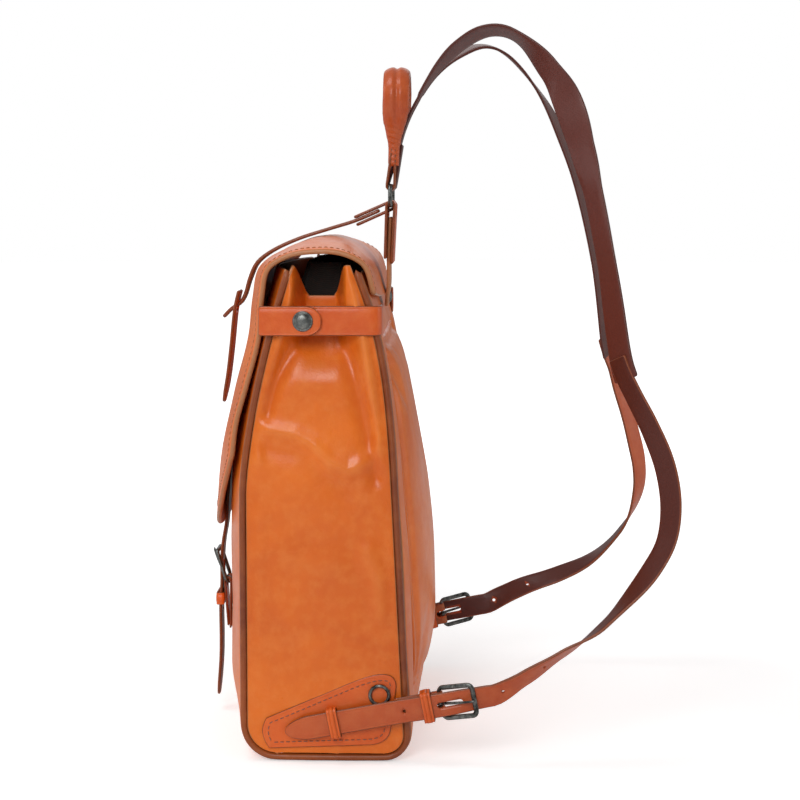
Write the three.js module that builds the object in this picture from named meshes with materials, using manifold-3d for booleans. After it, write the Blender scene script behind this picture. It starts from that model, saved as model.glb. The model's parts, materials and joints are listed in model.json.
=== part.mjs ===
// Leather flap-top backpack standing on its base: body panels, piped side gussets, buckled flap,
// ring-hung carry handle, lash strap and two shoulder straps. Every piece is its own mesh.
//
// Frame: millimetres, +Z up. -Y is the flap side, +Y the wearer's back, X runs across the bag.
// The origin is on the floor, under the middle of the bag. Names ending in _right are at +X.

import * as THREE from 'three';
import Module from 'manifold-3d';
import { mergeVertices } from 'three/addons/utils/BufferGeometryUtils.js';

const wasm = await Module();
wasm.setup();

// ---------------------------------------------------------------- driving dimensions

const HALF_WIDTH = 128;          // gusset face
const BODY_TOP = 371;            // rim of the bag
const STRAIGHT_TOP = 200;        // above this height the sides lean together
const FRONT_FACE = -60;          // front seam line, lower body
const FRONT_LEAN = 34;           // how far the front seam leans back at the rim
const BACK_FACE = 66;            // back seam line at its foot
const BACK_TAPER = 0.05;         // back seam lean per millimetre of height
const BACK_LEAN = 22;            // extra lean of the back seam at the rim
const FRONT_CORNER = 28;         // bottom corner radii of the side outline
const BACK_CORNER = 20;
const FRONT_BELLY = 20.5;        // how far the front panel stands out at mid width
const BACK_BELLY = 18;
const GUSSET_FOLD = 24;          // how far the gusset folds in at the rim

const LEATHER = 2.4;
const FLAP_LEATHER = 2.6;
const STRAP_LEATHER = 2.2;
const CHAPE_LEATHER = 1.4;
const GAP = 0.4;
const PIPING_RADIUS = 2.5;
const PIPING_X = HALF_WIDTH - 1.5;
const PANEL_HALF_WIDTH = PIPING_X - PIPING_RADIUS - GAP;
const GUSSET_INSET = 2 * PIPING_RADIUS + 3 * GAP;

const FLAP_HALF_WIDTH = 123;
const FLAP_BEND = 0.2;           // share of the flap's length behind its bend line
const BEND_SLIT = 0.0035;        // share of the flap's length left open at the bend line

const RING_Y = 47;
const RING_TOP_Z = 428.7;        // centre of the ring's upper bar
const RING_BOTTOM_Z = 413.3;     // centre of its lower bar
const RING_INSIDE = 56;          // clear width along the bars
const WIRE = 1.7;                // ring wire radius

const STRAP_WIDTH = 18;
const UPPER_STRAP_WIDTH = 24;
const BUCKLE_WIRE = 1.5;
const BUCKLE_LENGTH = 25;        // heel bar to rear bar
const BUCKLE_RISE = 7.9;         // height of the rear bar over the heel bar
const BUCKLE_INSIDE = 20;        // clear width between the frame's sides
const STRAP_OVER_HEEL = 5;       // height of the strap's middle over the heel bar
const HEEL_FRONT = new THREE.Vector3(0, -86.2, 108);
const HEEL_SIDE = new THREE.Vector3(134.6, 88, 47);
const SIDE_STRAP_SLOPE = THREE.MathUtils.degToRad(11.4);
const STRAP_SPLIT = 31;          // distance behind the heel bar where the swinging strap starts

const SIDE_STRAP_Z = 330;
const SIDE_STRAP_HEIGHT = 22;
const SNAP_Y = -13;

// ---------------------------------------------------------------- materials

const LEATHERS = {
  cognac: 0xd2691e,
  gusset: 0xd86c1c,
  tab: 0xc2521f,
  strap: 0xa84c28,
  upperStrap: 0x7a4034,
  edge: 0x6b3214,
  hanger: 0xb4764e,
  lining: 0x4a2c1a,
  foam: 0x3c3a38,
  board: 0x8a7350,
  metal: 0x5a605c,
};

function finish(name) {
  const metal = name === 'metal';
  return new THREE.MeshStandardMaterial({
    color: LEATHERS[name],
    roughness: metal ? 0.35 : 0.45,
    metalness: metal ? 1 : 0,
  });
}

// ---------------------------------------------------------------- geometry helpers

const vec = (x, y, z) => new THREE.Vector3(x, y, z);
const mix = THREE.MathUtils.lerp;
const smooth = THREE.MathUtils.smoothstep;

function curve(points) {
  return new THREE.CatmullRomCurve3(points.map((p) => vec(...p)), false, 'centripetal');
}

/** A curve in the plane X = x, from [y, z] points. */
function sideCurve(x, points) {
  return curve(points.map(([y, z]) => [x, y, z]));
}

/** Closed solid between two matching grids of points, rows of columns, outer face first. */
function gridSolid(outer, inner) {
  const rows = outer.length;
  const columns = outer[0].length;
  const positions = [...outer.flat(), ...inner.flat()].flatMap((p) => p.toArray());
  const at = (j, i) => j * columns + i;
  const under = (j, i) => rows * columns + j * columns + i;
  const index = [];
  const quad = (a, b, c, d) => index.push(a, b, c, a, c, d);
  for (let j = 0; j < rows - 1; j += 1) {
    for (let i = 0; i < columns - 1; i += 1) {
      quad(at(j, i), at(j, i + 1), at(j + 1, i + 1), at(j + 1, i));
      quad(under(j, i), under(j + 1, i), under(j + 1, i + 1), under(j, i + 1));
    }
  }
  for (let i = 0; i < columns - 1; i += 1) {
    quad(at(0, i), under(0, i), under(0, i + 1), at(0, i + 1));
    quad(at(rows - 1, i), at(rows - 1, i + 1), under(rows - 1, i + 1), under(rows - 1, i));
  }
  for (let j = 0; j < rows - 1; j += 1) {
    quad(at(j, 0), at(j + 1, 0), under(j + 1, 0), under(j, 0));
    quad(at(j, columns - 1), under(j, columns - 1), under(j + 1, columns - 1), at(j + 1, columns - 1));
  }
  const geometry = new THREE.BufferGeometry();
  geometry.setAttribute('position', new THREE.Float32BufferAttribute(positions, 3));
  geometry.setIndex(index);
  return geometry;
}

/** Unit normal of a surface given by point(u, v), on the side du x dv looks to. */
function surfaceNormal(point, u, v) {
  const step = 0.004;
  const du = point(Math.min(u + step, 1), v).sub(point(Math.max(u - step, 0), v));
  const dv = point(u, Math.min(v + step, 1)).sub(point(u, Math.max(v - step, 0)));
  return du.cross(dv).normalize();
}

/** Sheet of even thickness under the surface point(u, v); depth pushes it further in. */
function thickSheet(point, columns, rows, thickness, depth = 0) {
  const outer = [];
  const inner = [];
  for (let j = 0; j <= rows; j += 1) {
    outer.push([]);
    inner.push([]);
    for (let i = 0; i <= columns; i += 1) {
      const [u, v] = [i / columns, j / rows];
      const normal = surfaceNormal(point, u, v);
      outer[j].push(point(u, v).addScaledVector(normal, -depth));
      inner[j].push(point(u, v).addScaledVector(normal, -depth - thickness));
    }
  }
  return gridSolid(outer, inner);
}

/** Flat strap along a path. facing(t) is the way its outer face looks, width(t) its width. */
function ribbon({ path, facing, width, thickness, steps }) {
  const look = typeof facing === 'function' ? facing : () => facing;
  const wide = typeof width === 'function' ? width : () => width;
  const outer = [];
  const inner = [];
  for (let j = 0; j <= steps; j += 1) {
    const t = j / steps;
    const centre = path.getPointAt(t);
    const tangent = path.getTangentAt(t);
    const across = tangent.clone().cross(look(t)).normalize();
    const normal = across.clone().cross(tangent).multiplyScalar(thickness / 2);
    const left = centre.clone().addScaledVector(across, -wide(t) / 2);
    const right = centre.clone().addScaledVector(across, wide(t) / 2);
    outer.push([left.clone().add(normal), right.clone().add(normal)]);
    inner.push([left.sub(normal), right.sub(normal)]);
  }
  return gridSolid(outer, inner);
}

/** Route of a strap folded round a bar, in the plane of axes a and b through the bar's centre. */
function foldRoute({ bar, a, b, radius, endA, endB }) {
  const middle = [(endA[0] + endB[0]) / 2, (endA[1] + endB[1]) / 2];
  const length = Math.hypot(...middle);
  const [dx, dy] = middle.map((value) => value / length);
  const side = Math.sign(-endA[0] * dy + endA[1] * dx);
  const place = ([p, q]) => bar.clone().addScaledVector(a, p).addScaledVector(b, q);
  const points = [place(endA)];
  const turns = 6;
  for (let turn = 0; turn <= turns; turn += 1) {
    const angle = (turn * Math.PI) / turns;
    const out = side * radius * Math.cos(angle);
    const back = -radius * Math.sin(angle);
    points.push(place([-dy * out + dx * back, dx * out + dy * back]));
  }
  points.push(place(endB));
  return points;
}

/** Ribbon through points, with its width always along one axis. */
function sweptAcross(points, axis, width, thickness) {
  const outer = [];
  const inner = [];
  points.forEach((centre, j) => {
    const before = points[Math.max(j - 1, 0)];
    const after = points[Math.min(j + 1, points.length - 1)];
    const tangent = after.clone().sub(before);
    const normal = axis.clone().cross(tangent).setLength(thickness / 2);
    const left = centre.clone().addScaledVector(axis, -width / 2);
    const right = centre.clone().addScaledVector(axis, width / 2);
    outer.push([left.clone().add(normal), right.clone().add(normal)]);
    inner.push([left.sub(normal), right.sub(normal)]);
  });
  return gridSolid(outer, inner);
}

/** Strap of width along X, folded round a bar along X. Its ends are [y, z] points. */
function foldedStrap({ x, barY, barZ, radius, endA, endB, width, thickness }) {
  const route = foldRoute({
    bar: vec(x, barY, barZ),
    a: vec(0, 1, 0),
    b: vec(0, 0, 1),
    radius,
    endA: [endA[0] - barY, endA[1] - barZ],
    endB: [endB[0] - barY, endB[1] - barZ],
  });
  return sweptAcross(route, vec(1, 0, 0), width, thickness);
}

/** Closed solid through matching loops of points, with flat ends. */
function loft(loops) {
  const count = loops[0].length;
  const positions = loops.flat().flatMap((p) => p.toArray());
  const last = (loops.length - 1) * count;
  const index = [];
  for (let j = 0; j < loops.length - 1; j += 1) {
    for (let i = 0; i < count; i += 1) {
      const k = (i + 1) % count;
      const [a, b, c, d] = [j * count + i, j * count + k, (j + 1) * count + k, (j + 1) * count + i];
      index.push(a, b, c, a, c, d);
    }
  }
  for (let i = 1; i < count - 1; i += 1) {
    index.push(0, i + 1, i);
    index.push(last, last + i, last + i + 1);
  }
  const geometry = new THREE.BufferGeometry();
  geometry.setAttribute('position', new THREE.Float32BufferAttribute(positions, 3));
  geometry.setIndex(index);
  return geometry;
}

function toSolid(geometry) {
  const plain = geometry.clone();
  plain.deleteAttribute('normal');
  plain.deleteAttribute('uv');
  const merged = mergeVertices(plain, 1e-4);
  return new wasm.Manifold(new wasm.Mesh({
    numProp: 3,
    vertProperties: new Float32Array(merged.attributes.position.array),
    triVerts: new Uint32Array(merged.index.array),
  }));
}

function toGeometry(solid) {
  const mesh = solid.getMesh();
  const geometry = new THREE.BufferGeometry();
  geometry.setAttribute('position', new THREE.BufferAttribute(mesh.vertProperties, 3));
  geometry.setIndex(new THREE.BufferAttribute(mesh.triVerts, 1));
  return geometry;
}

function cut(geometry, ...tools) {
  return toGeometry(tools.reduce((solid, tool) => solid.subtract(toSolid(tool)), toSolid(geometry)));
}

function join(geometry, ...others) {
  return toGeometry(others.reduce((solid, other) => solid.add(toSolid(other)), toSolid(geometry)));
}

function boxAt(x, y, z, dx, dy, dz) {
  return new THREE.BoxGeometry(dx, dy, dz).translate(x, y, z);
}

function mirrored(geometry) {
  const twin = mergeVertices(geometry.clone().deleteAttribute('normal').deleteAttribute('uv'), 1e-4);
  twin.scale(-1, 1, 1);
  const { array } = twin.index;
  for (let i = 0; i < array.length; i += 3) {
    [array[i + 1], array[i + 2]] = [array[i + 2], array[i + 1]];
  }
  return twin;
}

function roundedRectangle(path, x0, y0, x1, y1, r) {
  path.moveTo(x0 + r, y0);
  path.lineTo(x1 - r, y0);
  path.absarc(x1 - r, y0 + r, r, -Math.PI / 2, 0, false);
  path.lineTo(x1, y1 - r);
  path.absarc(x1 - r, y1 - r, r, 0, Math.PI / 2, false);
  path.lineTo(x0 + r, y1);
  path.absarc(x0 + r, y1 - r, r, Math.PI / 2, Math.PI, false);
  path.lineTo(x0, y0 + r);
  path.absarc(x0 + r, y0 + r, r, Math.PI, 1.5 * Math.PI, false);
  return path;
}

/** Rounded wire frame with its opening from (x0, y0) to (x1, y1), centred on z = 0. */
function wireFrame(x0, y0, x1, y1, wire, corner) {
  const d = 2 * wire;
  const bevel = wire * 0.55;
  const shape = roundedRectangle(new THREE.Shape(), x0 - d + bevel, y0 - d + bevel,
    x1 + d - bevel, y1 + d - bevel, corner + d - bevel);
  shape.holes.push(roundedRectangle(new THREE.Path(), x0 - bevel, y0 - bevel,
    x1 + bevel, y1 + bevel, corner + bevel));
  return new THREE.ExtrudeGeometry(shape, {
    depth: d - 2 * bevel,
    bevelThickness: bevel,
    bevelSize: bevel,
    bevelSegments: 1,
    curveSegments: 3,
  }).translate(0, 0, bevel - wire);
}

/** Domed button with its flat side on z = 0. */
function dome(radius, height) {
  const profile = [new THREE.Vector2(0, 0), new THREE.Vector2(radius, 0)];
  for (const angle of [0.25, 0.6, 1.05]) {
    profile.push(new THREE.Vector2(radius * Math.cos(angle), height * Math.sin(angle + 0.2)));
  }
  profile.push(new THREE.Vector2(0, height));
  return new THREE.LatheGeometry(profile, 16).rotateX(Math.PI / 2);
}

// ---------------------------------------------------------------- bag outline

/** How far a side outline's edge, drawn `inset` inside it, lies in from the straight side. */
function cornerPull(z, radius, inset) {
  if (z >= radius) {
    return inset;
  }
  return radius - Math.sqrt(Math.max(0, (radius - inset) ** 2 - (radius - z) ** 2));
}

function lean(z) {
  return Math.max(0, (z - STRAIGHT_TOP) / (BODY_TOP - STRAIGHT_TOP));
}

function frontSeam(z, inset = 0) {
  return FRONT_FACE + FRONT_LEAN * lean(z) ** 2 + cornerPull(z, FRONT_CORNER, inset);
}

function backSeam(z, inset = 0) {
  const taper = BACK_TAPER * Math.max(0, z - BACK_CORNER);
  return BACK_FACE - taper - BACK_LEAN * lean(z) ** 3 - cornerPull(z, BACK_CORNER, inset);
}

/** Height for a share v of the panel, with closer steps round the bottom corner. */
function panelHeight(v, radius, top, inset = 0) {
  const cornerShare = 0.25;
  if (v < cornerShare) {
    return radius - (radius - inset) * Math.cos((v / cornerShare) * (Math.PI / 2));
  }
  return mix(radius, top, (v - cornerShare) / (1 - cornerShare));
}

function frontBelly(z) {
  return FRONT_BELLY * smooth(z, -6, 60) - 2.5 * smooth(z, 150, 330);
}

function backBelly(z) {
  return BACK_BELLY * smooth(z, -6, 90) * (1 - smooth(z, 130, 325));
}

// The outer faces of the big panels, with u across or along the wall and v from the floor up.
function frontFace(u, v) {
  const across = 1 - 2 * u;
  const z = panelHeight(v, FRONT_CORNER, BODY_TOP - 3);
  const y = frontSeam(z) - frontBelly(z) * (1 - across ** 2);
  return vec(-across * PANEL_HALF_WIDTH, y, z);
}

function backFace(u, v) {
  const across = 1 - 2 * u;
  const z = panelHeight(v, BACK_CORNER, BODY_TOP - 6);
  return vec(across * PANEL_HALF_WIDTH, backSeam(z) + backBelly(z) * (1 - across ** 2), z);
}

function gussetFace(u, v) {
  const z = panelHeight(v, FRONT_CORNER, BODY_TOP, GUSSET_INSET);
  const fold = (1 - (2 * u - 1) ** 2) ** 2;
  const cave = GUSSET_FOLD * smooth(z, 262, 352) * fold;
  return vec(HALF_WIDTH - cave, mix(frontSeam(z, GUSSET_INSET), backSeam(z, GUSSET_INSET), u), z);
}

// ---------------------------------------------------------------- flap outline

// Side view of the flap's outer face from the back seam to the tip: middle and side edge.
const flapMiddle = sideCurve(0, [
  [42.8, 343], [33, 366], [16, 381], [-6, 385.5], [-32, 380], [-56, 365], [-63, 342],
  [-67, 313], [-78.5, 268], [-87.5, 215], [-91.5, 157],
]);
const flapEdge = sideCurve(0, [
  [40, 350], [32, 370], [16, 378], [-6, 379.5], [-26, 376.5], [-41, 368], [-46, 345],
  [-50, 316], [-60, 282], [-67, 256], [-69.5, 231],
]);

function flapFace(u, v) {
  const across = 1 - 2 * u;
  const point = flapMiddle.getPoint(v).lerp(flapEdge.getPoint(v), Math.abs(across) ** 2.5);
  point.x = across * FLAP_HALF_WIDTH;
  return point;
}

// ---------------------------------------------------------------- assembly

const backpack = new THREE.Group();
backpack.name = 'backpack';

function add(name, geometry, material) {
  const mesh = new THREE.Mesh(geometry, finish(material));
  mesh.name = name;
  backpack.add(mesh);
  return mesh;
}

/** Adds a right-hand piece and its mirror image on the left. */
function addPair(name, geometry, material) {
  add(`${name}_right`, geometry, material);
  add(`${name}_left`, mirrored(geometry), material);
}

// ---------------------------------------------------------------- body

function makeBody() {
  add('front_panel', thickSheet(frontFace, 10, 12, LEATHER), 'cognac');
  add('back_panel', thickSheet(backFace, 10, 12, LEATHER), 'cognac');
  addPair('gusset', thickSheet(gussetFace, 8, 14, LEATHER), 'gusset');

  const padFace = (u, v) => backFace(mix(0.08, 0.92, u), mix(0.26, 0.84, v));
  add('back_pad', thickSheet(padFace, 8, 8, 7, LEATHER + 1), 'foam');

  const bottomFront = FRONT_FACE + FRONT_CORNER + GAP;
  const bottomBack = BACK_FACE - BACK_CORNER - GAP;
  const bottomDepth = bottomBack - bottomFront;
  const bottomY = (bottomFront + bottomBack) / 2;
  const width = 2 * PANEL_HALF_WIDTH;
  add('bottom_panel', boxAt(0, bottomY, LEATHER / 2, width, bottomDepth, LEATHER), 'cognac');
  const board = boxAt(0, bottomY, LEATHER + GAP + 1.25, width - 10, bottomDepth - 6, 2.5);
  add('bottom_board', board, 'board');
}

function makePiping() {
  const inset = PIPING_RADIUS + GAP;
  const heights = [367, 345, 316, 290, 265, 240, 215, 190, 120, 60];
  const points = heights.map((z) => vec(PIPING_X, frontSeam(z, inset), z));
  const corner = (centreY, radius, from) => {
    for (let k = 0; k <= 5; k += 1) {
      const angle = from + (k * Math.PI) / 10;
      const r = radius - inset;
      points.push(vec(PIPING_X, centreY + r * Math.cos(angle), radius + r * Math.sin(angle)));
    }
  };
  corner(FRONT_FACE + FRONT_CORNER, FRONT_CORNER, Math.PI);
  corner(BACK_FACE - BACK_CORNER, BACK_CORNER, 1.5 * Math.PI);
  points.push(...heights.map((z) => vec(PIPING_X, backSeam(z, inset), z)).reverse());
  const sides = 6;
  const loops = points.map((centre, j) => {
    const before = points[Math.max(j - 1, 0)];
    const after = points[Math.min(j + 1, points.length - 1)];
    const outward = vec(1, 0, 0).cross(after.clone().sub(before)).setLength(PIPING_RADIUS);
    return Array.from({ length: sides }, (_, k) => {
      const angle = (k * 2 * Math.PI) / sides;
      return centre.clone().addScaledVector(outward, Math.cos(angle))
        .add(vec(PIPING_RADIUS * Math.sin(angle), 0, 0));
    });
  });
  addPair('piping', loft(loops), 'edge');
}

/** Thin fabric bag inside the shell, open at the top. */
function makeLining() {
  const levels = [
    { z: 7, half: 112, front: -35, back: 38 },
    { z: 34, half: 116, front: -51, back: 44 },
    { z: 200, half: 116, front: -53, back: 44 },
    { z: 300, half: 103, front: -41, back: 32 },
    { z: 352, half: 90, front: -27, back: 26 },
  ];
  const loops = (shrink, raise) => levels.map(({ z, half, front, back }, row) => {
    const loop = [];
    for (let k = 0; k < 20; k += 1) {
      const angle = (k * Math.PI) / 10;
      const square = (value) => Math.sign(value) * Math.abs(value) ** 0.4;
      const y = (front + back) / 2 + square(Math.sin(angle)) * ((back - front) / 2 - shrink);
      loop.push(vec(square(Math.cos(angle)) * (half - shrink), y, z + raise[row]));
    }
    return loop;
  });
  const lining = cut(loft(loops(0, [0, 0, 0, 0, 0])), loft(loops(1.2, [1.2, 0, 0, 0, 4])));
  add('lining', lining, 'lining');
}

// ---------------------------------------------------------------- buckle hardware
// Made in a strap frame: x runs along the strap from the heel bar, y across it, z outwards.

function strapFrame(heel, along, outward) {
  const across = outward.clone().cross(along);
  return new THREE.Matrix4().makeBasis(along, across, outward).setPosition(heel);
}

const frontFrame = strapFrame(HEEL_FRONT, vec(0, 0, 1), vec(0, -1, 0));
const sideAlong = vec(0, Math.cos(SIDE_STRAP_SLOPE), Math.sin(SIDE_STRAP_SLOPE));
const sideFrame = strapFrame(HEEL_SIDE, sideAlong, vec(1, 0, 0));

function buckleFrame() {
  const half = BUCKLE_INSIDE / 2;
  const span = Math.hypot(BUCKLE_LENGTH, BUCKLE_RISE);
  const flat = wireFrame(BUCKLE_WIRE, -half, span - BUCKLE_WIRE, half, BUCKLE_WIRE, 1);
  return flat.rotateY(-Math.atan2(BUCKLE_RISE, BUCKLE_LENGTH));
}

function buckleProng() {
  const reach = BUCKLE_LENGTH + 1.5;
  const start = vec(1.9, 0, 1.9);
  const end = vec(reach, 0, BUCKLE_RISE + 3.9);
  const rodLength = start.distanceTo(end);
  const rod = new THREE.CylinderGeometry(0.9, 1.1, rodLength, 8);
  rod.translate(0, rodLength / 2, 0);
  const turn = new THREE.Quaternion().setFromUnitVectors(vec(0, 1, 0), end.clone().sub(start).normalize());
  rod.applyQuaternion(turn).translate(start.x, start.y, start.z);
  const eye = new THREE.TorusGeometry(BUCKLE_WIRE + 1.15, 0.8, 6, 14).rotateX(Math.PI / 2);
  return join(eye, rod);
}

/** Leather folded round the heel bar; its two leaves end at [x, z] points of the strap frame. */
function chape(innerEnd, outerEnd) {
  const route = foldRoute({
    bar: vec(0, 0, 0),
    a: vec(1, 0, 0),
    b: vec(0, 0, 1),
    radius: BUCKLE_WIRE + 0.3 + CHAPE_LEATHER / 2,
    endA: outerEnd,
    endB: innerEnd,
  });
  const strip = sweptAcross(route, vec(0, 1, 0), STRAP_WIDTH, CHAPE_LEATHER);
  return cut(strip, boxAt(0, 0, 0, 11, 5, 12));
}

/** Leather loop round a strap: x is its place along the strap, low and high its clear depth. */
function keeper(x, length, low, high, inside = STRAP_WIDTH + 2, wall = 1.3) {
  const half = inside / 2;
  const shape = roundedRectangle(new THREE.Shape(), -half - wall, low - wall, half + wall, high + wall, 1.6);
  shape.holes.push(roundedRectangle(new THREE.Path(), -half, low, half, high, 0.6));
  const loop = new THREE.ExtrudeGeometry(shape, { depth: length, bevelEnabled: false, curveSegments: 2 });
  loop.applyMatrix4(new THREE.Matrix4().makeBasis(vec(0, 1, 0), vec(0, 0, 1), vec(1, 0, 0)));
  return loop.translate(x - length / 2, 0, 0);
}

/** Slot through the strap for the prong, in the strap frame. */
function prongSlot() {
  return boxAt(8.5, 0, STRAP_OVER_HEEL, 15, 3.6, 6);
}

// ---------------------------------------------------------------- flap and closure

function makeFlap() {
  const rear = (u, v) => flapFace(u, mix(0, FLAP_BEND - BEND_SLIT / 2, v));
  const front = (u, v) => flapFace(u, mix(FLAP_BEND + BEND_SLIT / 2, 1, v));
  add('flap_rear', thickSheet(rear, 12, 4, FLAP_LEATHER), 'cognac');
  add('flap_front', thickSheet(front, 12, 12, FLAP_LEATHER), 'cognac');

  const strapPath = sideCurve(0, [
    [-80.9, 230], [-83.2, 205], [-85.6, 180], [-87, 158], [-90, 140], [-91.2, 126],
    [-91.2, 108], [-92.3, 89], [-92.2, 60], [-92.6, 43], [-95, 12],
  ]);
  const strap = ribbon({
    path: strapPath,
    facing: vec(0, -1, 0),
    width: (t) => STRAP_WIDTH - 8 * smooth(t, 0.93, 1),
    thickness: STRAP_LEATHER,
    steps: 22,
  });
  add('closure_strap', cut(strap, prongSlot().applyMatrix4(frontFrame)), 'strap');

  const rivet = dome(4.2, 2.4).rotateX(Math.PI / 2 + 0.1);
  add('closure_rivet', rivet, 'metal').position.set(0, -88.1, 219);

  add('front_buckle_frame', buckleFrame().applyMatrix4(frontFrame), 'metal');
  add('front_buckle_prong', buckleProng().applyMatrix4(frontFrame), 'metal');
  add('front_chape', chape([-39, -1.9], [-37, -0.2]).applyMatrix4(frontFrame), 'tab');
  add('front_keeper', keeper(-14, 10, 3.8, 8.2, STRAP_WIDTH + 2, 1).applyMatrix4(frontFrame), 'tab');
  add('front_snap_socket', disc(6.5, 0.7), 'metal').position.set(0, -82.6, 85);
  add('front_snap_stud', disc(5.5, 0.8), 'metal').position.set(0, -81.5, 85);
}

/** Thin disc facing -Y. */
function disc(radius, thickness) {
  return new THREE.CylinderGeometry(radius, radius, thickness, 20);
}

// ---------------------------------------------------------------- side snap straps

function makeSideStraps() {
  const half = SIDE_STRAP_HEIGHT / 2;
  const rearFace = HALF_WIDTH + 1.4;
  const path = curve([
    [rearFace + 1.1, -24, SIDE_STRAP_Z], [rearFace + 1.1, 0, SIDE_STRAP_Z],
    [rearFace + 1.1, 38, SIDE_STRAP_Z], [rearFace + 0.5, 45, SIDE_STRAP_Z],
    [rearFace - 3.5, 48.4, SIDE_STRAP_Z], [rearFace - 18, 48.4, SIDE_STRAP_Z],
  ]);
  const rear = sweptAcross(path.getSpacedPoints(14), vec(0, 0, -1), SIDE_STRAP_HEIGHT, STRAP_LEATHER);
  addPair('side_strap', rear, 'tab');

  const tabShape = new THREE.Shape();
  tabShape.moveTo(-45.5, -half);
  tabShape.lineTo(0.5 - half, -half);
  tabShape.absarc(0.5 - half, 0, half, -Math.PI / 2, Math.PI / 2, false);
  tabShape.lineTo(-45.5, half);
  tabShape.closePath();
  const tab = new THREE.ExtrudeGeometry(tabShape, { depth: STRAP_LEATHER, bevelEnabled: false, curveSegments: 10 });
  tab.applyMatrix4(new THREE.Matrix4().makeBasis(vec(0, 1, 0), vec(0, 0, 1), vec(1, 0, 0)));
  const tabFace = rearFace + STRAP_LEATHER + 1.5;
  addPair('side_tab', tab.translate(tabFace, 0, SIDE_STRAP_Z), 'tab');

  const cap = dome(7.5, 2.8).rotateY(Math.PI / 2);
  addPair('snap_cap', cap.translate(tabFace + STRAP_LEATHER + 0.3, SNAP_Y, SIDE_STRAP_Z), 'metal');
  const stud = new THREE.CylinderGeometry(4.5, 4.5, 0.9, 16).rotateZ(Math.PI / 2);
  addPair('snap_stud', stud.translate(rearFace + STRAP_LEATHER + 0.75, SNAP_Y, SIDE_STRAP_Z), 'metal');
}

// ---------------------------------------------------------------- lower strap anchors

function makeLowerAnchors() {
  const patchShape = new THREE.Shape();
  patchShape.moveTo(-40, 10);
  patchShape.lineTo(35, 13);
  patchShape.quadraticCurveTo(49, 14, 51, 25);
  patchShape.lineTo(55, 56);
  patchShape.quadraticCurveTo(56, 67, 45, 67);
  patchShape.quadraticCurveTo(36, 67, 20, 60);
  patchShape.lineTo(-42, 33);
  patchShape.quadraticCurveTo(-49, 22, -40, 10);
  const patch = new THREE.ExtrudeGeometry(patchShape, { depth: 1.6, bevelEnabled: false, curveSegments: 5 });
  patch.applyMatrix4(new THREE.Matrix4().makeBasis(vec(0, 1, 0), vec(0, 0, 1), vec(1, 0, 0)));
  addPair('strap_patch', patch.translate(HALF_WIDTH + GAP, 0, 0), 'tab');

  const ring = new THREE.TorusGeometry(7, 1.3, 6, 18).rotateY(Math.PI / 2);
  addPair('lower_ring', ring.translate(HALF_WIDTH + 3.8, 42.5, 51.6), 'metal');

  const place = (geometry) => geometry.applyMatrix4(sideFrame);
  addPair('lower_chape', place(chape([-34, -2.9], [-32, -0.9])), 'tab');
  addPair('lower_buckle_frame', place(buckleFrame()), 'metal');
  addPair('lower_buckle_prong', place(buckleProng()), 'metal');
  addPair('strap_keeper', place(keeper(-10, 8, -3.9, 6.6)), 'tab');
  addPair('patch_keeper', place(keeper(-81, 8, -2.3, 2.3)), 'tab');

  const tailPath = curve([
    [STRAP_SPLIT, 0, 4.8], [16, 0, 5], [0, 0, STRAP_OVER_HEEL], [-12, 0, 4.4], [-28, 0, 2.4],
    [-46, 0, 1.3], [-80, 0, -0.1], [-118, 0, -1.6],
  ]);
  const tail = ribbon({
    path: tailPath,
    facing: vec(0, 0, 1),
    width: (t) => STRAP_WIDTH - 9 * smooth(t, 0.93, 1),
    thickness: STRAP_LEATHER,
    steps: 18,
  });
  addPair('strap_tail', place(cut(tail, prongSlot())), 'tab');
}

// ---------------------------------------------------------------- top ring and what hangs on it

function makeRing() {
  const half = RING_INSIDE / 2;
  const ring = wireFrame(-half, RING_BOTTOM_Z + WIRE, half, RING_TOP_Z - WIRE, WIRE, 4);
  add('top_ring', ring.rotateX(Math.PI / 2), 'metal').position.set(0, RING_Y, 0);
}

function makeHanger() {
  const path = sideCurve(0, [[46.6, 404], [45.8, 388], [45.2, 371], [45.2, 352], [44.2, 341], [43.4, 333]]);
  add('hanger_strap', ribbon({
    path, facing: vec(0, 1, 0), width: 34, thickness: STRAP_LEATHER, steps: 8,
  }), 'hanger');
  const rivet = dome(4.5, 2).rotateX(-Math.PI / 2);
  add('hanger_rivet', rivet, 'metal').position.set(0, 45.7, 340);

  const chapeBody = foldedStrap({
    x: 0, barY: RING_Y, barZ: RING_BOTTOM_Z, radius: WIRE + 0.4 + 1.1,
    endA: [41.2, 371], endB: [48.4, 367], width: 46, thickness: STRAP_LEATHER,
  });
  add('hanger_chape', cut(chapeBody, boxAt(0, RING_Y, 418, 20.5, 30, 30)), 'tab');
}

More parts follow.
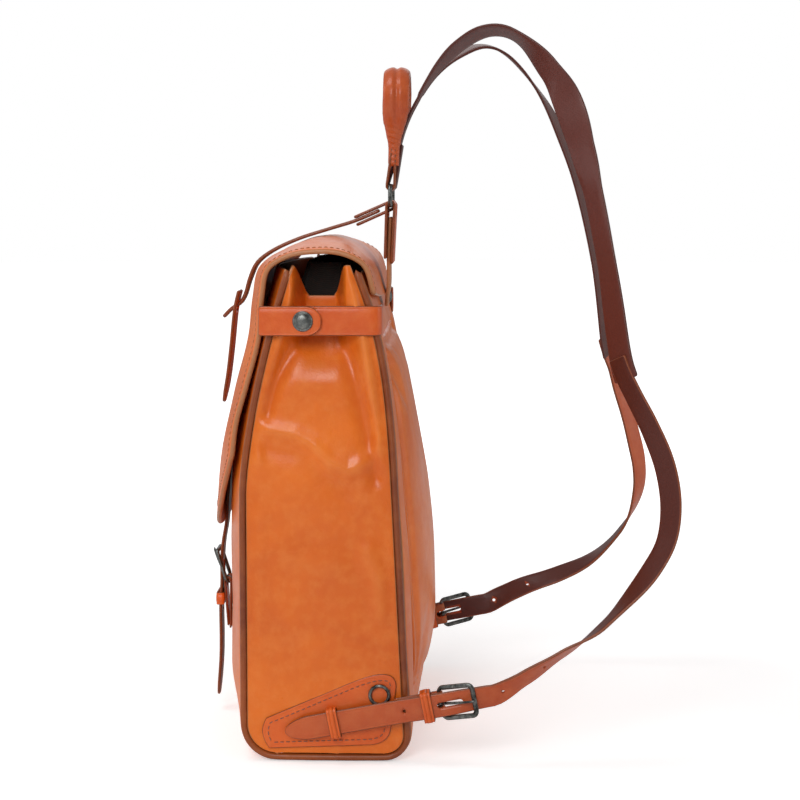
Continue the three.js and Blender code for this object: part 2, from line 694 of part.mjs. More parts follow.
function makeLash() {
  const lashChape = foldedStrap({
    x: 0, barY: RING_Y, barZ: RING_BOTTOM_Z, radius: WIRE + 0.4 + 0.9,
    endA: [17.3, 403.6], endB: [19.2, 397.6], width: 19, thickness: 1.8,
  });
  add('lash_chape', lashChape, 'tab');

  const lashPath = sideCurve(0, [
    [37.5, 409.2], [18, 400.6], [-3, 393], [-29, 384.2], [-50, 374.8], [-60.5, 366.5],
    [-67, 354], [-71, 341], [-75, 334.5], [-81, 331], [-89, 323],
  ]);
  add('lash_strap', ribbon({
    path: lashPath,
    facing: vec(0, -0.5, 1),
    width: (t) => 19 - 6 * smooth(t, 0.72, 0.82),
    thickness: 2,
    steps: 22,
  }), 'strap');

  const tonguePath = sideCurve(0, [[-75.4, 345], [-78.5, 331.5], [-82, 300], [-85, 276], [-89, 254]]);
  const tongue = ribbon({
    path: tonguePath,
    facing: vec(0, -1, 0),
    width: (t) => 24 - 10 * smooth(t, 0.85, 1),
    thickness: 2.4,
    steps: 10,
  });
  add('lash_tongue', cut(tongue, boxAt(0, -78.4, 332.2, 16, 12, 9)), 'tab');
}

function makeHandle() {
  for (const [name, side] of [['right', 1], ['left', -1]]) {
    const leg = foldedStrap({
      x: side * 19.6, barY: RING_Y, barZ: RING_TOP_Z, radius: WIRE + 0.4 + 1,
      endA: [48.4, 459.5], endB: [50.9, 459.5], width: 8, thickness: 1.9,
    });
    add(`handle_leg_${name}`, leg, 'tab');
  }
  const path = curve([
    [19.6, 49.8, 463], [24, 50.4, 474], [31, 51.4, 489], [32, 52, 504], [20, 52, 515], [0, 52, 518],
    [-20, 52, 515], [-32, 52, 504], [-31, 51.4, 489], [-24, 50.4, 474], [-19.6, 49.8, 463],
  ]);
  const steps = 20;
  const loops = [];
  for (let j = 0; j <= steps; j += 1) {
    const t = j / steps;
    const full = Math.sin(Math.PI * t) ** 0.45;
    const centre = path.getPointAt(t);
    const inPlane = vec(0, 1, 0).cross(path.getTangentAt(t)).normalize();
    const loop = [];
    for (let k = 0; k < 10; k += 1) {
      const angle = (k * Math.PI) / 5;
      loop.push(centre.clone()
        .addScaledVector(inPlane, mix(3, 6, full) * Math.cos(angle))
        .addScaledVector(vec(0, 1, 0), mix(4.5, 10.8, full) * Math.sin(angle)));
    }
    loops.push(loop);
  }
  add('handle_grip', loft(loops), 'cognac');
}

// ---------------------------------------------------------------- shoulder straps

function makeShoulderStraps() {
  const fold = foldRoute({
    bar: vec(8.1, RING_Y, RING_TOP_Z),
    a: vec(0, 1, 0),
    b: vec(0, 0, 1),
    radius: WIRE + 0.4 + 1,
    endA: [5.8, 29],
    endB: [10.2, 33],
  });
  const rise = [vec(11.8, 65.2, 490.5), vec(9.8, 59, 475)];
  addPair('strap_root', sweptAcross([...rise, ...fold], vec(1, 0, 0), 14, 1.9), 'upperStrap');

  const loopMiddle = vec(60, 130, 300);
  const facing = (path, from, to) => (t) => {
    const point = path.getPointAt(t);
    const radial = point.clone().sub(loopMiddle).setX(0).normalize();
    return radial.lerp(vec(1, 0, 0), smooth(t, from, to)).normalize();
  };

  const upper = curve([
    [12.1, 66.2, 492.4], [16, 84, 521], [21, 102, 539], [28, 122, 549], [35, 142, 546],
    [50, 177, 507], [65, 197, 448], [82, 213, 372], [98, 223, 297], [101, 226, 284],
  ]);
  addPair('shoulder_strap_upper', ribbon({
    path: upper,
    facing: facing(upper, 0.35, 1.6),
    width: (t) => mix(14, UPPER_STRAP_WIDTH, smooth(t, 0, 0.16)),
    thickness: STRAP_LEATHER,
    steps: 26,
  }), 'upperStrap');

  const end = vec(STRAP_SPLIT + 2.8, 0, 4.8).applyMatrix4(sideFrame);
  const beforeEnd = vec(STRAP_SPLIT + 10, 0, 4.8).applyMatrix4(sideFrame);
  const lower = curve([
    [94.4, 214.5, 316], [99, 221, 290], [103.5, 228.5, 268], [110, 241, 246], [117, 252, 222],
    [122, 259, 195], [126, 260, 170], [129, 254, 148], [131.5, 241, 130], [134, 222, 113],
    [136, 198, 98], [137.5, 172, 83], [138.6, 145, 68.5], beforeEnd.toArray(),
    end.toArray(),
  ]);
  addPair('shoulder_strap_lower', ribbon({
    path: lower,
    facing: facing(lower, -0.6, 0.8),
    width: STRAP_WIDTH,
    thickness: STRAP_LEATHER,
    steps: 30,
  }), 'strap');
}

makeBody();
makePiping();
makeLining();
makeFlap();
makeSideStraps();
makeLowerAnchors();
makeRing();
makeHanger();
makeLash();
makeHandle();
makeShoulderStraps();

export default backpack;
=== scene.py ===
"""Leather flap-top backpack on a pale floor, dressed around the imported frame.

Sizes in this script are millimetres, and make_piece turns them into metres. +Z is up, -Y the
flap side, +Y the wearer's back. Names ending in _right are at +X. The left piece is the right one's
mirror image, except that each shoulder strap follows its own route.
"""

import json
import math

import bmesh
import bpy
from mathutils import Matrix, Vector, noise


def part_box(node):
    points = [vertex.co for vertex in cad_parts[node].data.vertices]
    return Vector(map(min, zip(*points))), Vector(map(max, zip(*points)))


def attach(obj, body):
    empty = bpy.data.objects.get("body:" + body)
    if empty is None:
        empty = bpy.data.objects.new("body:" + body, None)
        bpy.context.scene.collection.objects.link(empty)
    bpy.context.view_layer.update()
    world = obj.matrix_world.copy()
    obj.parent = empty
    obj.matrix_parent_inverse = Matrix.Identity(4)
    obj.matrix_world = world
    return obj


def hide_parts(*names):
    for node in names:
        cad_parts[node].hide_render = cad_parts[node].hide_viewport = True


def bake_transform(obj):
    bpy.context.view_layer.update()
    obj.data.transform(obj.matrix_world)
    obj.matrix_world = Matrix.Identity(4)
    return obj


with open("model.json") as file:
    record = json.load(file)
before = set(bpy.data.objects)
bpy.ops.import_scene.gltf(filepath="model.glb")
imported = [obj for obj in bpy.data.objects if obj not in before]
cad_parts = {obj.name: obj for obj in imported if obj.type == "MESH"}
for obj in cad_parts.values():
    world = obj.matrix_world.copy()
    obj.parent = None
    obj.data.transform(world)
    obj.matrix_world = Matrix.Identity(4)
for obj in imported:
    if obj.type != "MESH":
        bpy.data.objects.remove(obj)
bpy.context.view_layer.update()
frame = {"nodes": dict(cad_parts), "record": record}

MM = 0.001
BODY_TOP = 371
STRAIGHT_TOP = 200
FRONT_Y = -62
BACK_Y = 66
FRONT_CORNER = 28
BACK_CORNER = 20
HALF_WIDTH = 128
PANEL_HALF_WIDTH = 123.6
PIPING_X = 126.5
PIPING_RADIUS = 2.5
GUSSET_INSET = 6.2
LEATHER = 2.4
FLAP_LEATHER = 2.6
FLAP_HALF_WIDTH = 123
STRAP_LEATHER = 2.2
RING_Y = 47
RING_TOP_Z = 428.7
RING_BOTTOM_Z = 413.3
WIRE = 1.7
TAB_Z = 330
STRAP_WIDTH = 18
SIDES = (("right", 1), ("left", -1))


# ---------------------------------------------------------------- small maths

def lerp(a, b, t):
    return a + (b - a) * t


def smooth(x, low, high):
    t = min(1.0, max(0.0, (x - low) / (high - low)))
    return t * t * (3 - 2 * t)


def vec(*values):
    return Vector(values)


class Route:
    """Centripetal Catmull-Rom curve through points, or the points themselves when rounded is false."""

    def __init__(self, points, rounded=True, samples=16):
        p = [Vector(q) for q in points]
        self.samples = samples if rounded else 1
        self.line = self.curve(p) if rounded else p
        self.marks = [0.0]
        for a, b in zip(self.line, self.line[1:]):
            self.marks.append(self.marks[-1] + (b - a).length)
        self.length = self.marks[-1]

    def curve(self, p):
        p = [2 * p[0] - p[1]] + p + [2 * p[-1] - p[-2]]
        line = []
        for i in range(1, len(p) - 2):
            a, b, c, d = p[i - 1:i + 3]
            d0, d1, d2 = (max((y - x).length, 1e-6) ** 0.5 for x, y in ((a, b), (b, c), (c, d)))
            m1 = ((b - a) / d0 - (c - a) / (d0 + d1) + (c - b) / d1) * d1
            m2 = ((c - b) / d1 - (d - b) / (d1 + d2) + (d - c) / d2) * d1
            square, cube = 3 * (c - b) - 2 * m1 - m2, 2 * (b - c) + m1 + m2
            for k in range(self.samples):
                t = k / self.samples
                line.append(b + m1 * t + square * t ** 2 + cube * t ** 3)
        return line + [p[-2]]

    def by_points(self, share):
        """Point at a share of the point list, whatever the points' spacing."""
        place = min(max(share, 0), 1) * (len(self.line) - 1)
        i = min(int(place), len(self.line) - 2)
        return self.line[i].lerp(self.line[i + 1], place - i)

    def at(self, distance):
        distance = min(max(distance, 0), self.length)
        i = 0
        for i in range(len(self.marks) - 1):
            if self.marks[i + 1] >= distance:
                break
        span = max(self.marks[i + 1] - self.marks[i], 1e-9)
        return self.line[i].lerp(self.line[i + 1], (distance - self.marks[i]) / span)

    def tangent(self, distance):
        reach = min(1.2, self.length / 50)
        return (self.at(distance + reach) - self.at(distance - reach)).normalized()


def side_route(x, points, **options):
    return Route([(x, y, z) for y, z in points], **options)


def mirrored(points):
    return [vec(-p[0], p[1], p[2]) for p in points]


# ---------------------------------------------------------------- materials

def node(tree, kind, inputs=None, **settings):
    made = tree.nodes.new(kind)
    for key, value in settings.items():
        setattr(made, key, value)
    for key, value in (inputs or {}).items():
        if isinstance(value, bpy.types.NodeSocket):
            tree.links.new(value, made.inputs[key])
        else:
            made.inputs[key].default_value = value
    return made


def start_material(name, **shader):
    material = bpy.data.materials.new(name)
    material.use_nodes = True
    tree = material.node_tree
    bsdf = tree.nodes["Principled BSDF"]
    for key, value in shader.items():
        bsdf.inputs[key.replace("_", " ")].default_value = value
    place = node(tree, "ShaderNodeTexCoord").outputs["Object"]
    return material, tree, bsdf, place


def noise_value(tree, place, scale, detail=3, roughness=0.55, stretch=None, distortion=0.0):
    if stretch:
        place = node(tree, "ShaderNodeMapping", {"Vector": place, "Scale": stretch}).outputs["Vector"]
    inputs = {"Vector": place, "Scale": scale, "Detail": detail, "Roughness": roughness,
              "Distortion": distortion}
    return node(tree, "ShaderNodeTexNoise", inputs).outputs["Fac"]


def spread(tree, value, low, high, to_low=0.0, to_high=1.0):
    inputs = {"Value": value, "From Min": low, "From Max": high, "To Min": to_low, "To Max": to_high}
    return node(tree, "ShaderNodeMapRange", inputs).outputs["Result"]


def blend_colour(tree, share, a, b, mode="MIX"):
    made = node(tree, "ShaderNodeMix", data_type="RGBA", blend_type=mode)
    for socket, value in ((made.inputs[0], share), (made.inputs[6], a), (made.inputs[7], b)):
        if isinstance(value, bpy.types.NodeSocket):
            tree.links.new(value, socket)
        else:
            socket.default_value = (*value, 1) if isinstance(value, tuple) else value
    return made.outputs[2]


def maths(tree, operation, a, b=0.0):
    made = node(tree, "ShaderNodeMath", operation=operation)
    for socket, value in ((made.inputs[0], a), (made.inputs[1], b)):
        if isinstance(value, bpy.types.NodeSocket):
            tree.links.new(value, socket)
        else:
            socket.default_value = value
    return made.outputs[0]


def bumped(tree, bsdf, *layers):
    """Chains bump layers of (height, distance in metres, strength) into the shader's normal."""
    normal = None
    for height, distance, strength in layers:
        inputs = {"Height": height, "Distance": distance, "Strength": strength}
        if normal is not None:
            inputs["Normal"] = normal
        normal = node(tree, "ShaderNodeBump", inputs).outputs["Normal"]
    tree.links.new(normal, bsdf.inputs["Normal"])


def point_value(tree, name):
    return node(tree, "ShaderNodeAttribute", attribute_name=name).outputs["Fac"]


def leather(name, colour, deep, pale, edge, back=None, rough=0.36, coat=0.12, grain=0.45):
    """Waxed leather. rim, flesh and fold are point values: painted edge, inner side, and fold height, which
    paints shade into fold valleys and a highlight onto fold ridges.
    """
    material, tree, bsdf, place = start_material(
        name, Coat_Weight=coat, Coat_Roughness=0.2, IOR=1.42)
    clouds = noise_value(tree, place, 11, detail=4, distortion=0.4)
    mottle = noise_value(tree, place, 120, detail=3)
    scuff = noise_value(tree, place, 38, detail=6, roughness=0.7, stretch=(1, 0.45, 2.2))
    body = blend_colour(tree, spread(tree, clouds, 0.3, 0.7), deep, colour)
    body = blend_colour(tree, spread(tree, mottle, 0.42, 0.75, 0, 0.22), body, pale)
    body = blend_colour(tree, spread(tree, scuff, 0.64, 0.8, 0, 0.28), body, pale)
    fold = point_value(tree, "fold")
    # Painted shade in the fold valleys and a painted highlight on the fold ridges, from the fold height.
    body = blend_colour(tree, spread(tree, fold, -0.1, -1.0, 0, 0.75), body, deep)
    body = blend_colour(tree, spread(tree, fold, 0.15, 1.0, 0, 0.42), body, pale)
    flesh = point_value(tree, "flesh")
    # Colour of the inner side; the strap leather's dark maroon back is partly painted shade of its
    # turned-away face.
    back_face_colour = back or tuple(lerp(c, g, 0.45) * 0.72 for c, g in zip(colour, (0.42, 0.26, 0.15)))
    body = blend_colour(tree, flesh, body, back_face_colour)
    worn = spread(tree, noise_value(tree, place, 210, detail=4), 0.3, 0.6, 0.86, 1.0)
    rim = maths(tree, "MULTIPLY", point_value(tree, "rim"), worn)
    # Edge colour on the rims; the pale tan edge colour is partly painted reflection.
    body = blend_colour(tree, rim, body, edge)
    tree.links.new(body, bsdf.inputs["Base Color"])
    patchy = noise_value(tree, place, 26, detail=5, roughness=0.65)
    patchy = spread(tree, patchy, 0.3, 0.72, rough - 0.09, rough + 0.1)
    patchy = maths(tree, "ADD", patchy, maths(tree, "MULTIPLY", flesh, 0.12 if back else 0.4))
    tree.links.new(patchy, bsdf.inputs["Roughness"])
    cells = node(tree, "ShaderNodeTexVoronoi", {"Vector": place, "Scale": 820.0}, feature="SMOOTH_F1")
    pores = noise_value(tree, place, 1900, detail=2)
    waves = noise_value(tree, place, 60, detail=3, distortion=0.8)
    bumped(tree, bsdf, (waves, 0.0016, 0.22), (cells.outputs["Distance"], 0.00022, grain),
           (pores, 0.0001, 0.3))
    return material


def gunmetal():
    material, tree, bsdf, place = start_material("antique_metal", Metallic=1.0, IOR=2.4)
    patina = noise_value(tree, place, 170, detail=6, roughness=0.62)
    colour = blend_colour(tree, spread(tree, patina, 0.36, 0.66), (0.035, 0.038, 0.036), (0.21, 0.22, 0.21))
    worn = spread(tree, noise_value(tree, place, 460, detail=4), 0.56, 0.7, 0, 0.4)
    colour = blend_colour(tree, worn, colour, (0.42, 0.41, 0.37))
    tree.links.new(colour, bsdf.inputs["Base Color"])
    tree.links.new(spread(tree, patina, 0.3, 0.7, 0.24, 0.46), bsdf.inputs["Roughness"])
    bumped(tree, bsdf, (patina, 0.0004, 0.2), (noise_value(tree, place, 900, detail=3), 0.0001, 0.25))
    return material


def woven(name, warp, weft, scale=900):
    """Plain woven cotton, from two crossed bands."""
    material, tree, bsdf, place = start_material(name, Roughness=0.95, Sheen_Weight=0.04)
    bands = []
    for axis in ("X", "Z"):
        inputs = {"Vector": place, "Scale": scale, "Distortion": 0.6, "Detail": 1.0}
        bands.append(node(tree, "ShaderNodeTexWave", inputs, bands_direction=axis).outputs["Fac"])
    crossed = maths(tree, "MULTIPLY", bands[0], bands[1])
    slub = spread(tree, noise_value(tree, place, 240, stretch=(1, 1, 6)), 0.3, 0.7, 0, 0.5)
    colour = blend_colour(tree, crossed, warp, weft)
    colour = blend_colour(tree, slub, colour, warp, mode="MULTIPLY")
    tree.links.new(colour, bsdf.inputs["Base Color"])
    bumped(tree, bsdf, (crossed, 0.0003, 0.6))
    return material


def thread_material(name, colour):
    """Waxed thread, twisted."""
    material, tree, bsdf, place = start_material(name, Sheen_Weight=0.3, Coat_Weight=0.15)
    twist = noise_value(tree, place, 2400, detail=2, stretch=(1, 1, 0.5))
    dark = tuple(c * 0.55 for c in colour)
    shade = blend_colour(tree, spread(tree, twist, 0.35, 0.65), dark, colour)
    tree.links.new(shade, bsdf.inputs["Base Color"])
    tree.links.new(spread(tree, twist, 0.3, 0.7, 0.42, 0.62), bsdf.inputs["Roughness"])
    bumped(tree, bsdf, (twist, 0.0002, 0.6))
    return material


def fibrous(name, colour, dark, scale, rough):
    """Foam or fibre board: a mottled matt surface with fine pits."""
    material, tree, bsdf, place = start_material(name, Roughness=rough)
    pits = noise_value(tree, place, scale, detail=5, roughness=0.7)
    shade = blend_colour(tree, spread(tree, pits, 0.35, 0.65), dark, colour)
    tree.links.new(shade, bsdf.inputs["Base Color"])
    bumped(tree, bsdf, (pits, 0.0006, 0.5))
    return material


RUSSET_EDGE = (0.20, 0.050, 0.014)
# Pale tan edge colour: the rims' own tone together with a painted reflection on them.
TAN_EDGE_AND_REFLECTION = (0.44, 0.18, 0.075)
# MAROON: the strap leather's dark glossy back, partly painted shade; also the dark strap's edge colour.
MAROON = (0.085, 0.014, 0.007)
MATERIALS = {
    "body_leather": leather("body_leather", (0.84, 0.175, 0.008), (0.68, 0.118, 0.005), (0.90, 0.30, 0.06),
                            TAN_EDGE_AND_REFLECTION),
    "tab_leather": leather("tab_leather", (0.76, 0.125, 0.012), (0.58, 0.075, 0.007), (0.84, 0.24, 0.06),
                           RUSSET_EDGE),
    "strap_leather": leather("strap_leather", (0.56, 0.100, 0.020), (0.40, 0.056, 0.011), (0.66, 0.19, 0.06),
                             RUSSET_EDGE, back=MAROON),
    "dark_strap_leather": leather("dark_strap_leather", (0.120, 0.024, 0.014), (0.070, 0.013, 0.008),
                                  (0.21, 0.062, 0.042), MAROON, back=(0.11, 0.022, 0.014), rough=0.40,
                                  coat=0.2),
    "edge_leather": leather("edge_leather", (0.34, 0.075, 0.012), (0.17, 0.032, 0.007), (0.50, 0.15, 0.035),
                            RUSSET_EDGE, rough=0.40),
    "hanger_leather": leather("hanger_leather", (0.56, 0.22, 0.090), (0.42, 0.13, 0.045), (0.68, 0.34, 0.19),
                              TAN_EDGE_AND_REFLECTION, rough=0.45),
    # Near-black lining: the cloth's dark colour darkened further as painted shade inside the bag's mouth.
    "lining_fabric": woven("lining_fabric", (0.010, 0.006, 0.004), (0.032, 0.018, 0.013)),
    "pad_foam": fibrous("pad_foam", (0.06, 0.055, 0.05), (0.02, 0.02, 0.02), 700, 0.95),
    "base_board": fibrous("base_board", (0.33, 0.25, 0.15), (0.20, 0.14, 0.08), 300, 0.85),
    "antique_metal": gunmetal(),
}
THREADS = {
    "body_leather": thread_material("thread_cognac", (0.50, 0.16, 0.045)),
    "tab_leather": thread_material("thread_rust", (0.33, 0.09, 0.03)),
    "dark_strap_leather": thread_material("thread_dark", (0.16, 0.055, 0.035)),
}


# ---------------------------------------------------------------- mesh making

class Shape:
    """Points in millimetres with their rim, flesh and fold values, and the faces on them."""

    def __init__(self):
        self.points, self.faces, self.values = [], [], []

    def add(self, point, rim=0.0, flesh=0.0, fold=0.0):
        self.points.append(Vector(point))
        self.values.append((rim, flesh, fold))
        return len(self.points) - 1

    def ring(self, points, rim=0.0):
        return [self.add(p, rim=rim) for p in points]

    def bridge(self, a, b, closed=True):
        count = len(a)
        for i in range(count if closed else count - 1):
            k = (i + 1) % count
            self.faces.append((a[i], a[k], b[k], b[i]))

    def cap(self, ring):
        """Closes a ring with a fan to its middle."""
        middle = sum((self.points[i] for i in ring), Vector()) / len(ring)
        rim, flesh, fold = self.values[ring[0]]
        centre = self.add(middle, rim, flesh, fold)
        for i, first in enumerate(ring):
            self.faces.append((first, ring[(i + 1) % len(ring)], centre))

    def tube(self, rings, capped=True, closed=False):
        for a, b in zip(rings, rings[1:]):
            self.bridge(a, b)
        if closed:
            self.bridge(rings[-1], rings[0])
        elif capped:
            self.cap(rings[0])
            self.cap(rings[-1])


def make_piece(name, shape, slot, material=None, flip=False):
    """Turns a shape into a smooth object in metres; flip mirrors it across X = 0."""
    mesh = bpy.data.meshes.new(name)
    side = -1 if flip else 1
    mesh.from_pydata([(side * p.x * MM, p.y * MM, p.z * MM) for p in shape.points], [], shape.faces)
    for k, key in enumerate(("rim", "flesh", "fold")):
        attribute = mesh.attributes.new(key, "FLOAT", "POINT")
        attribute.data.foreach_set("value", [v[k] for v in shape.values])
    tidy = bmesh.new()
    tidy.from_mesh(mesh)
    bmesh.ops.recalc_face_normals(tidy, faces=tidy.faces)
    tidy.to_mesh(mesh)
    tidy.free()
    mesh.shade_smooth()
    piece = bpy.data.objects.new(name, mesh)
    bpy.context.scene.collection.objects.link(piece)
    mesh.materials.append(material or MATERIALS[slot])
    return piece


def add_modifier(piece, kind, **settings):
    modifier = piece.modifiers.new(kind.lower(), kind)
    for key, value in settings.items():
        setattr(modifier, key, value)
    return modifier


def bake_modifiers(piece):
    """Leaves the piece with its modified mesh and no modifiers."""
    graph = bpy.context.evaluated_depsgraph_get()
    made = bpy.data.meshes.new_from_object(
        piece.evaluated_get(graph), preserve_all_data_layers=True, depsgraph=graph)
    piece.modifiers.clear()
    piece.data = made


def punch(piece, cutters):
    """Cuts closed shapes out of a piece; the walls of the cuts are painted like its edges."""
    tool = Shape()
    for cutter in cutters:
        start = len(tool.points)
        for p in cutter.points:
            tool.add(p, rim=1.0)
        tool.faces.extend(tuple(start + i for i in face) for face in cutter.faces)
    knife = make_piece("knife", tool, "tab_leather", piece.data.materials[0])
    add_modifier(piece, "BOOLEAN", operation="DIFFERENCE", object=knife, solver="EXACT")
    bake_modifiers(piece)
    bpy.data.objects.remove(knife)


def rod(a, b, radius, wide=None, across=None, sides=20):
    """Closed rod from a to b. With wide and across it is a slot shape, wider along across."""
    a, b = Vector(a), Vector(b)
    axis = (b - a).normalized()
    first = Vector(across) if across else axis.orthogonal().normalized()
    second = axis.cross(first)
    stretch = max(0.0, (wide or 2 * radius) / 2 - radius)
    shape = Shape()
    rings = []
    for end in (a, b):
        ring = []
        for k in range(sides):
            angle = math.tau * (k + 0.5) / sides
            c = math.cos(angle)
            side = first * (radius * c + math.copysign(stretch, c))
            ring.append(end + side + second * (radius * math.sin(angle)))
        rings.append(shape.ring(ring, rim=1.0))
    shape.tube(rings)
    return shape


def leather_sheet(point, columns, rows, thickness, inset=(0, 0), fold=None, rim_steps=5):
    """Leather of even thickness under the outer face point(u, v), with a rounded painted rim."""
    thick = thickness if callable(thickness) else lambda u, v: thickness
    us = [lerp(inset[0], 1 - inset[0], i / columns) for i in range(columns + 1)]
    vs = [lerp(inset[1], 1 - inset[1], j / rows) for j in range(rows + 1)]
    grid = [[point(u, v) for u in us] for v in vs]
    shape = Shape()
    outer, inner, normals = [], [], {}
    for j in range(rows + 1):
        outer.append([])
        inner.append([])
        for i in range(columns + 1):
            du = grid[j][min(i + 1, columns)] - grid[j][max(i - 1, 0)]
            dv = grid[min(j + 1, rows)][i] - grid[max(j - 1, 0)][i]
            normal = du.cross(dv).normalized()
            normals[j, i] = (normal, du.normalized(), dv.normalized())
            height = fold(us[i], vs[j]) if fold else 0.0
            outer[j].append(shape.add(grid[j][i], fold=height))
            inner[j].append(shape.add(grid[j][i] - normal * thick(us[i], vs[j]), flesh=1.0))
    for j in range(rows):
        shape.bridge(outer[j], outer[j + 1], closed=False)
        shape.bridge(inner[j], inner[j + 1], closed=False)
    around = [(0, i) for i in range(columns)] + [(j, columns) for j in range(rows)]
    around += [(rows, i) for i in range(columns, 0, -1)] + [(j, 0) for j in range(rows, 0, -1)]
    rings = [[outer[j][i] for j, i in around]]
    for k in range(1, rim_steps):
        angle = math.pi * k / rim_steps
        ring = []
        for j, i in around:
            normal, du, dv = normals[j, i]
            out = (du if i == columns else -du if i == 0 else Vector()) + \
                  (dv if j == rows else -dv if j == 0 else Vector())
            radius = thick(us[i], vs[j]) / 2
            centre = grid[j][i] - normal * radius
            ring.append(centre + (normal * math.cos(angle) + out.normalized() * math.sin(angle)) * radius)
        rings.append(shape.ring(ring, rim=1.0))
    rings.append([inner[j][i] for j, i in around])
    for a, b in zip(rings, rings[1:]):
        shape.bridge(a, b)
    return shape


def strap_section(width, thickness, crown, groove):
    """Section of a strap as (across, height, rim, flesh): creased face, burnished edges, flat back."""
    half, top, r = width / 2, thickness / 2, thickness * 0.46
    inner = half - r
    face = [(inner, 0), (half - 1.5, 0), (half - 1.9, -groove), (half - 2.3, 0), (half * 0.5, crown * 0.75)]
    section = [(-x, top + h, 0.0, 0.0) for x, h in face] + [(0, top + crown, 0.0, 0.0)]
    section += [(x, top + h, 0.0, 0.0) for x, h in reversed(face)]
    edge = [(inner + r * math.cos(a), top * math.sin(a)) for a in (1.0, 0.35, -0.35, -1.0)]
    section += [(x, h, 1.0, 0.0) for x, h in edge]
    section += [(x, -top, 0.0, 1.0) for x in (inner, half * 0.5, 0, -half * 0.5, -inner)]
    section += [(-x, h, 1.0, 0.0) for x, h in reversed(edge)]
    return section


def end_width(kind, distance, width):
    """Share of a strap's width left at a distance from its end."""
    if kind == "round":
        reach = width / 2
    elif kind == "point":
        reach = width * 0.8
    else:
        reach = 1.8
        cut = reach - math.sqrt(max(0, reach ** 2 - max(0, reach - distance) ** 2))
        return 1 - 2 * cut / width
    share = min(1, distance / reach)
    return max(0.05, math.sqrt(1 - (1 - share) ** 2))


END_STEPS = (0, 0.15, 0.45, 0.9, 1.5, 2.4, 3.6, 5.2, 7.2, 9.6)


def band(route, facing, width, thickness=STRAP_LEATHER, ends=("square", "square"), step=3.5,
         crown=0.12, groove=0.16):
    """Strap along a route. facing(share, tangent) is the way its face looks.

    width may be a function of the share.
    """
    wide = width if callable(width) else lambda t: width
    length = route.length
    near = [s for s in END_STEPS if s < length / 2]
    count = max(1, round((length - 2 * near[-1]) / step))
    middle = [lerp(near[-1], length - near[-1], k / count) for k in range(1, count)]
    places = near + middle + [length - s for s in reversed(near)]
    nominal = wide(0.5)
    section = strap_section(nominal, thickness, crown, groove)
    shape = Shape()
    rings = []
    for s in places:
        t = s / length
        tangent = route.tangent(s)
        across = tangent.cross(facing(t, tangent)).normalized()
        normal = across.cross(tangent).normalized()
        centre = route.at(s)
        size = wide(t) / nominal
        size *= end_width(ends[0], s, wide(t)) * end_width(ends[1], length - s, wide(t))
        tip = min(s, length - s)
        body = max(0.3, math.sqrt(1 - (1 - min(1, tip / (thickness / 2))) ** 2))
        ring = []
        for x, h, rim, flesh in section:
            paint = max(rim, 1 - tip / 0.7)
            ring.append(shape.add(centre + across * (x * size) + normal * (h * body), rim=paint, flesh=flesh))
        rings.append(ring)
    shape.tube(rings)
    return shape


def fold_points(bar, a, b, radius, end_a, end_b, turns=14):
    """Route of a strap folded round a bar, in the plane of axes a and b through the bar's centre."""
    bar, a, b = Vector(bar), Vector(a), Vector(b)
    way = Vector(((end_a[0] + end_b[0]) / 2, (end_a[1] + end_b[1]) / 2)).normalized()
    side = math.copysign(1, -end_a[0] * way.y + end_a[1] * way.x)
    points = [bar + a * end_a[0] + b * end_a[1]]
    for turn in range(turns + 1):
        angle = turn * math.pi / turns
        out, back = side * radius * math.cos(angle), -radius * math.sin(angle)
        points.append(bar + a * (-way.y * out + way.x * back) + b * (way.x * out + way.y * back))
    points.append(bar + a * end_b[0] + b * end_b[1])
    return points


def swept(points, radius, sides=12, closed=False, flat=1.0, up=(0, 0, 1)):
    """Tube along points; flat squeezes its section along up."""
    shape = Shape()
    rings = []
    count = len(points)
    for j, centre in enumerate(points):
        before = points[(j - 1) % count] if closed else points[max(j - 1, 0)]
        after = points[(j + 1) % count] if closed else points[min(j + 1, count - 1)]
        tangent = (after - before).normalized()
        side = Vector(up).cross(tangent).normalized()
        rise = tangent.cross(side)
        size = radius(j / (count - 1), centre) if callable(radius) else radius
        turns = [math.tau * k / sides for k in range(sides)]
        rings.append(shape.ring([
            centre + side * (size * math.cos(a)) + rise * (size * flat * math.sin(a)) for a in turns]))
    shape.tube(rings, closed=closed)
    return shape


def join(*shapes):
    whole = Shape()
    for shape in shapes:
        start = len(whole.points)
        whole.points.extend(shape.points)
        whole.values.extend(shape.values)
        whole.faces.extend(tuple(start + i for i in face) for face in shape.faces)
    return whole


STITCH = 3.1
STITCH_GAP = 1.3
THREAD = 0.42


def stitches(line, normal_at):
    """Row of raised stitches along a polyline; normal_at(point) is the way the leather faces."""
    route = Route(line, rounded=False)
    pitch = STITCH + STITCH_GAP
    shape = Shape()
    for k in range(int(route.length / pitch)):
        middle = (k + 0.5) * pitch
        centre, tangent = route.at(middle), route.tangent(middle)
        normal = Vector(normal_at(centre)).normalized()
        side = normal.cross(tangent).normalized()
        rings = []
        for share, size in ((-1, 0.35), (-0.72, 0.85), (0, 1), (0.72, 0.85), (1, 0.35)):
            rise = THREAD * (0.55 - 0.75 * share * share)
            place = centre + tangent * (share * STITCH / 2) + normal * rise
            rings.append(shape.ring([
                place + (side * math.cos(a) + normal * math.sin(a)) * THREAD * size
                for a in (math.tau * q / 6 for q in range(6))]))
        shape.tube(rings)
    return shape


def both_sides(name, shape, slot, place, node=None, cuts=(), material=None):
    """Makes the right piece and its mirror image. place(piece, side name) attaches each one."""
    for side, sign in SIDES:
        piece = make_piece(f"{name}_{side}", shape, slot, material, flip=sign < 0)
        if cuts:
            punch(piece, [on_side(cut, sign) for cut in cuts])
        place(piece, side)
        if node:
            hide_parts(f"{node}_{side}")


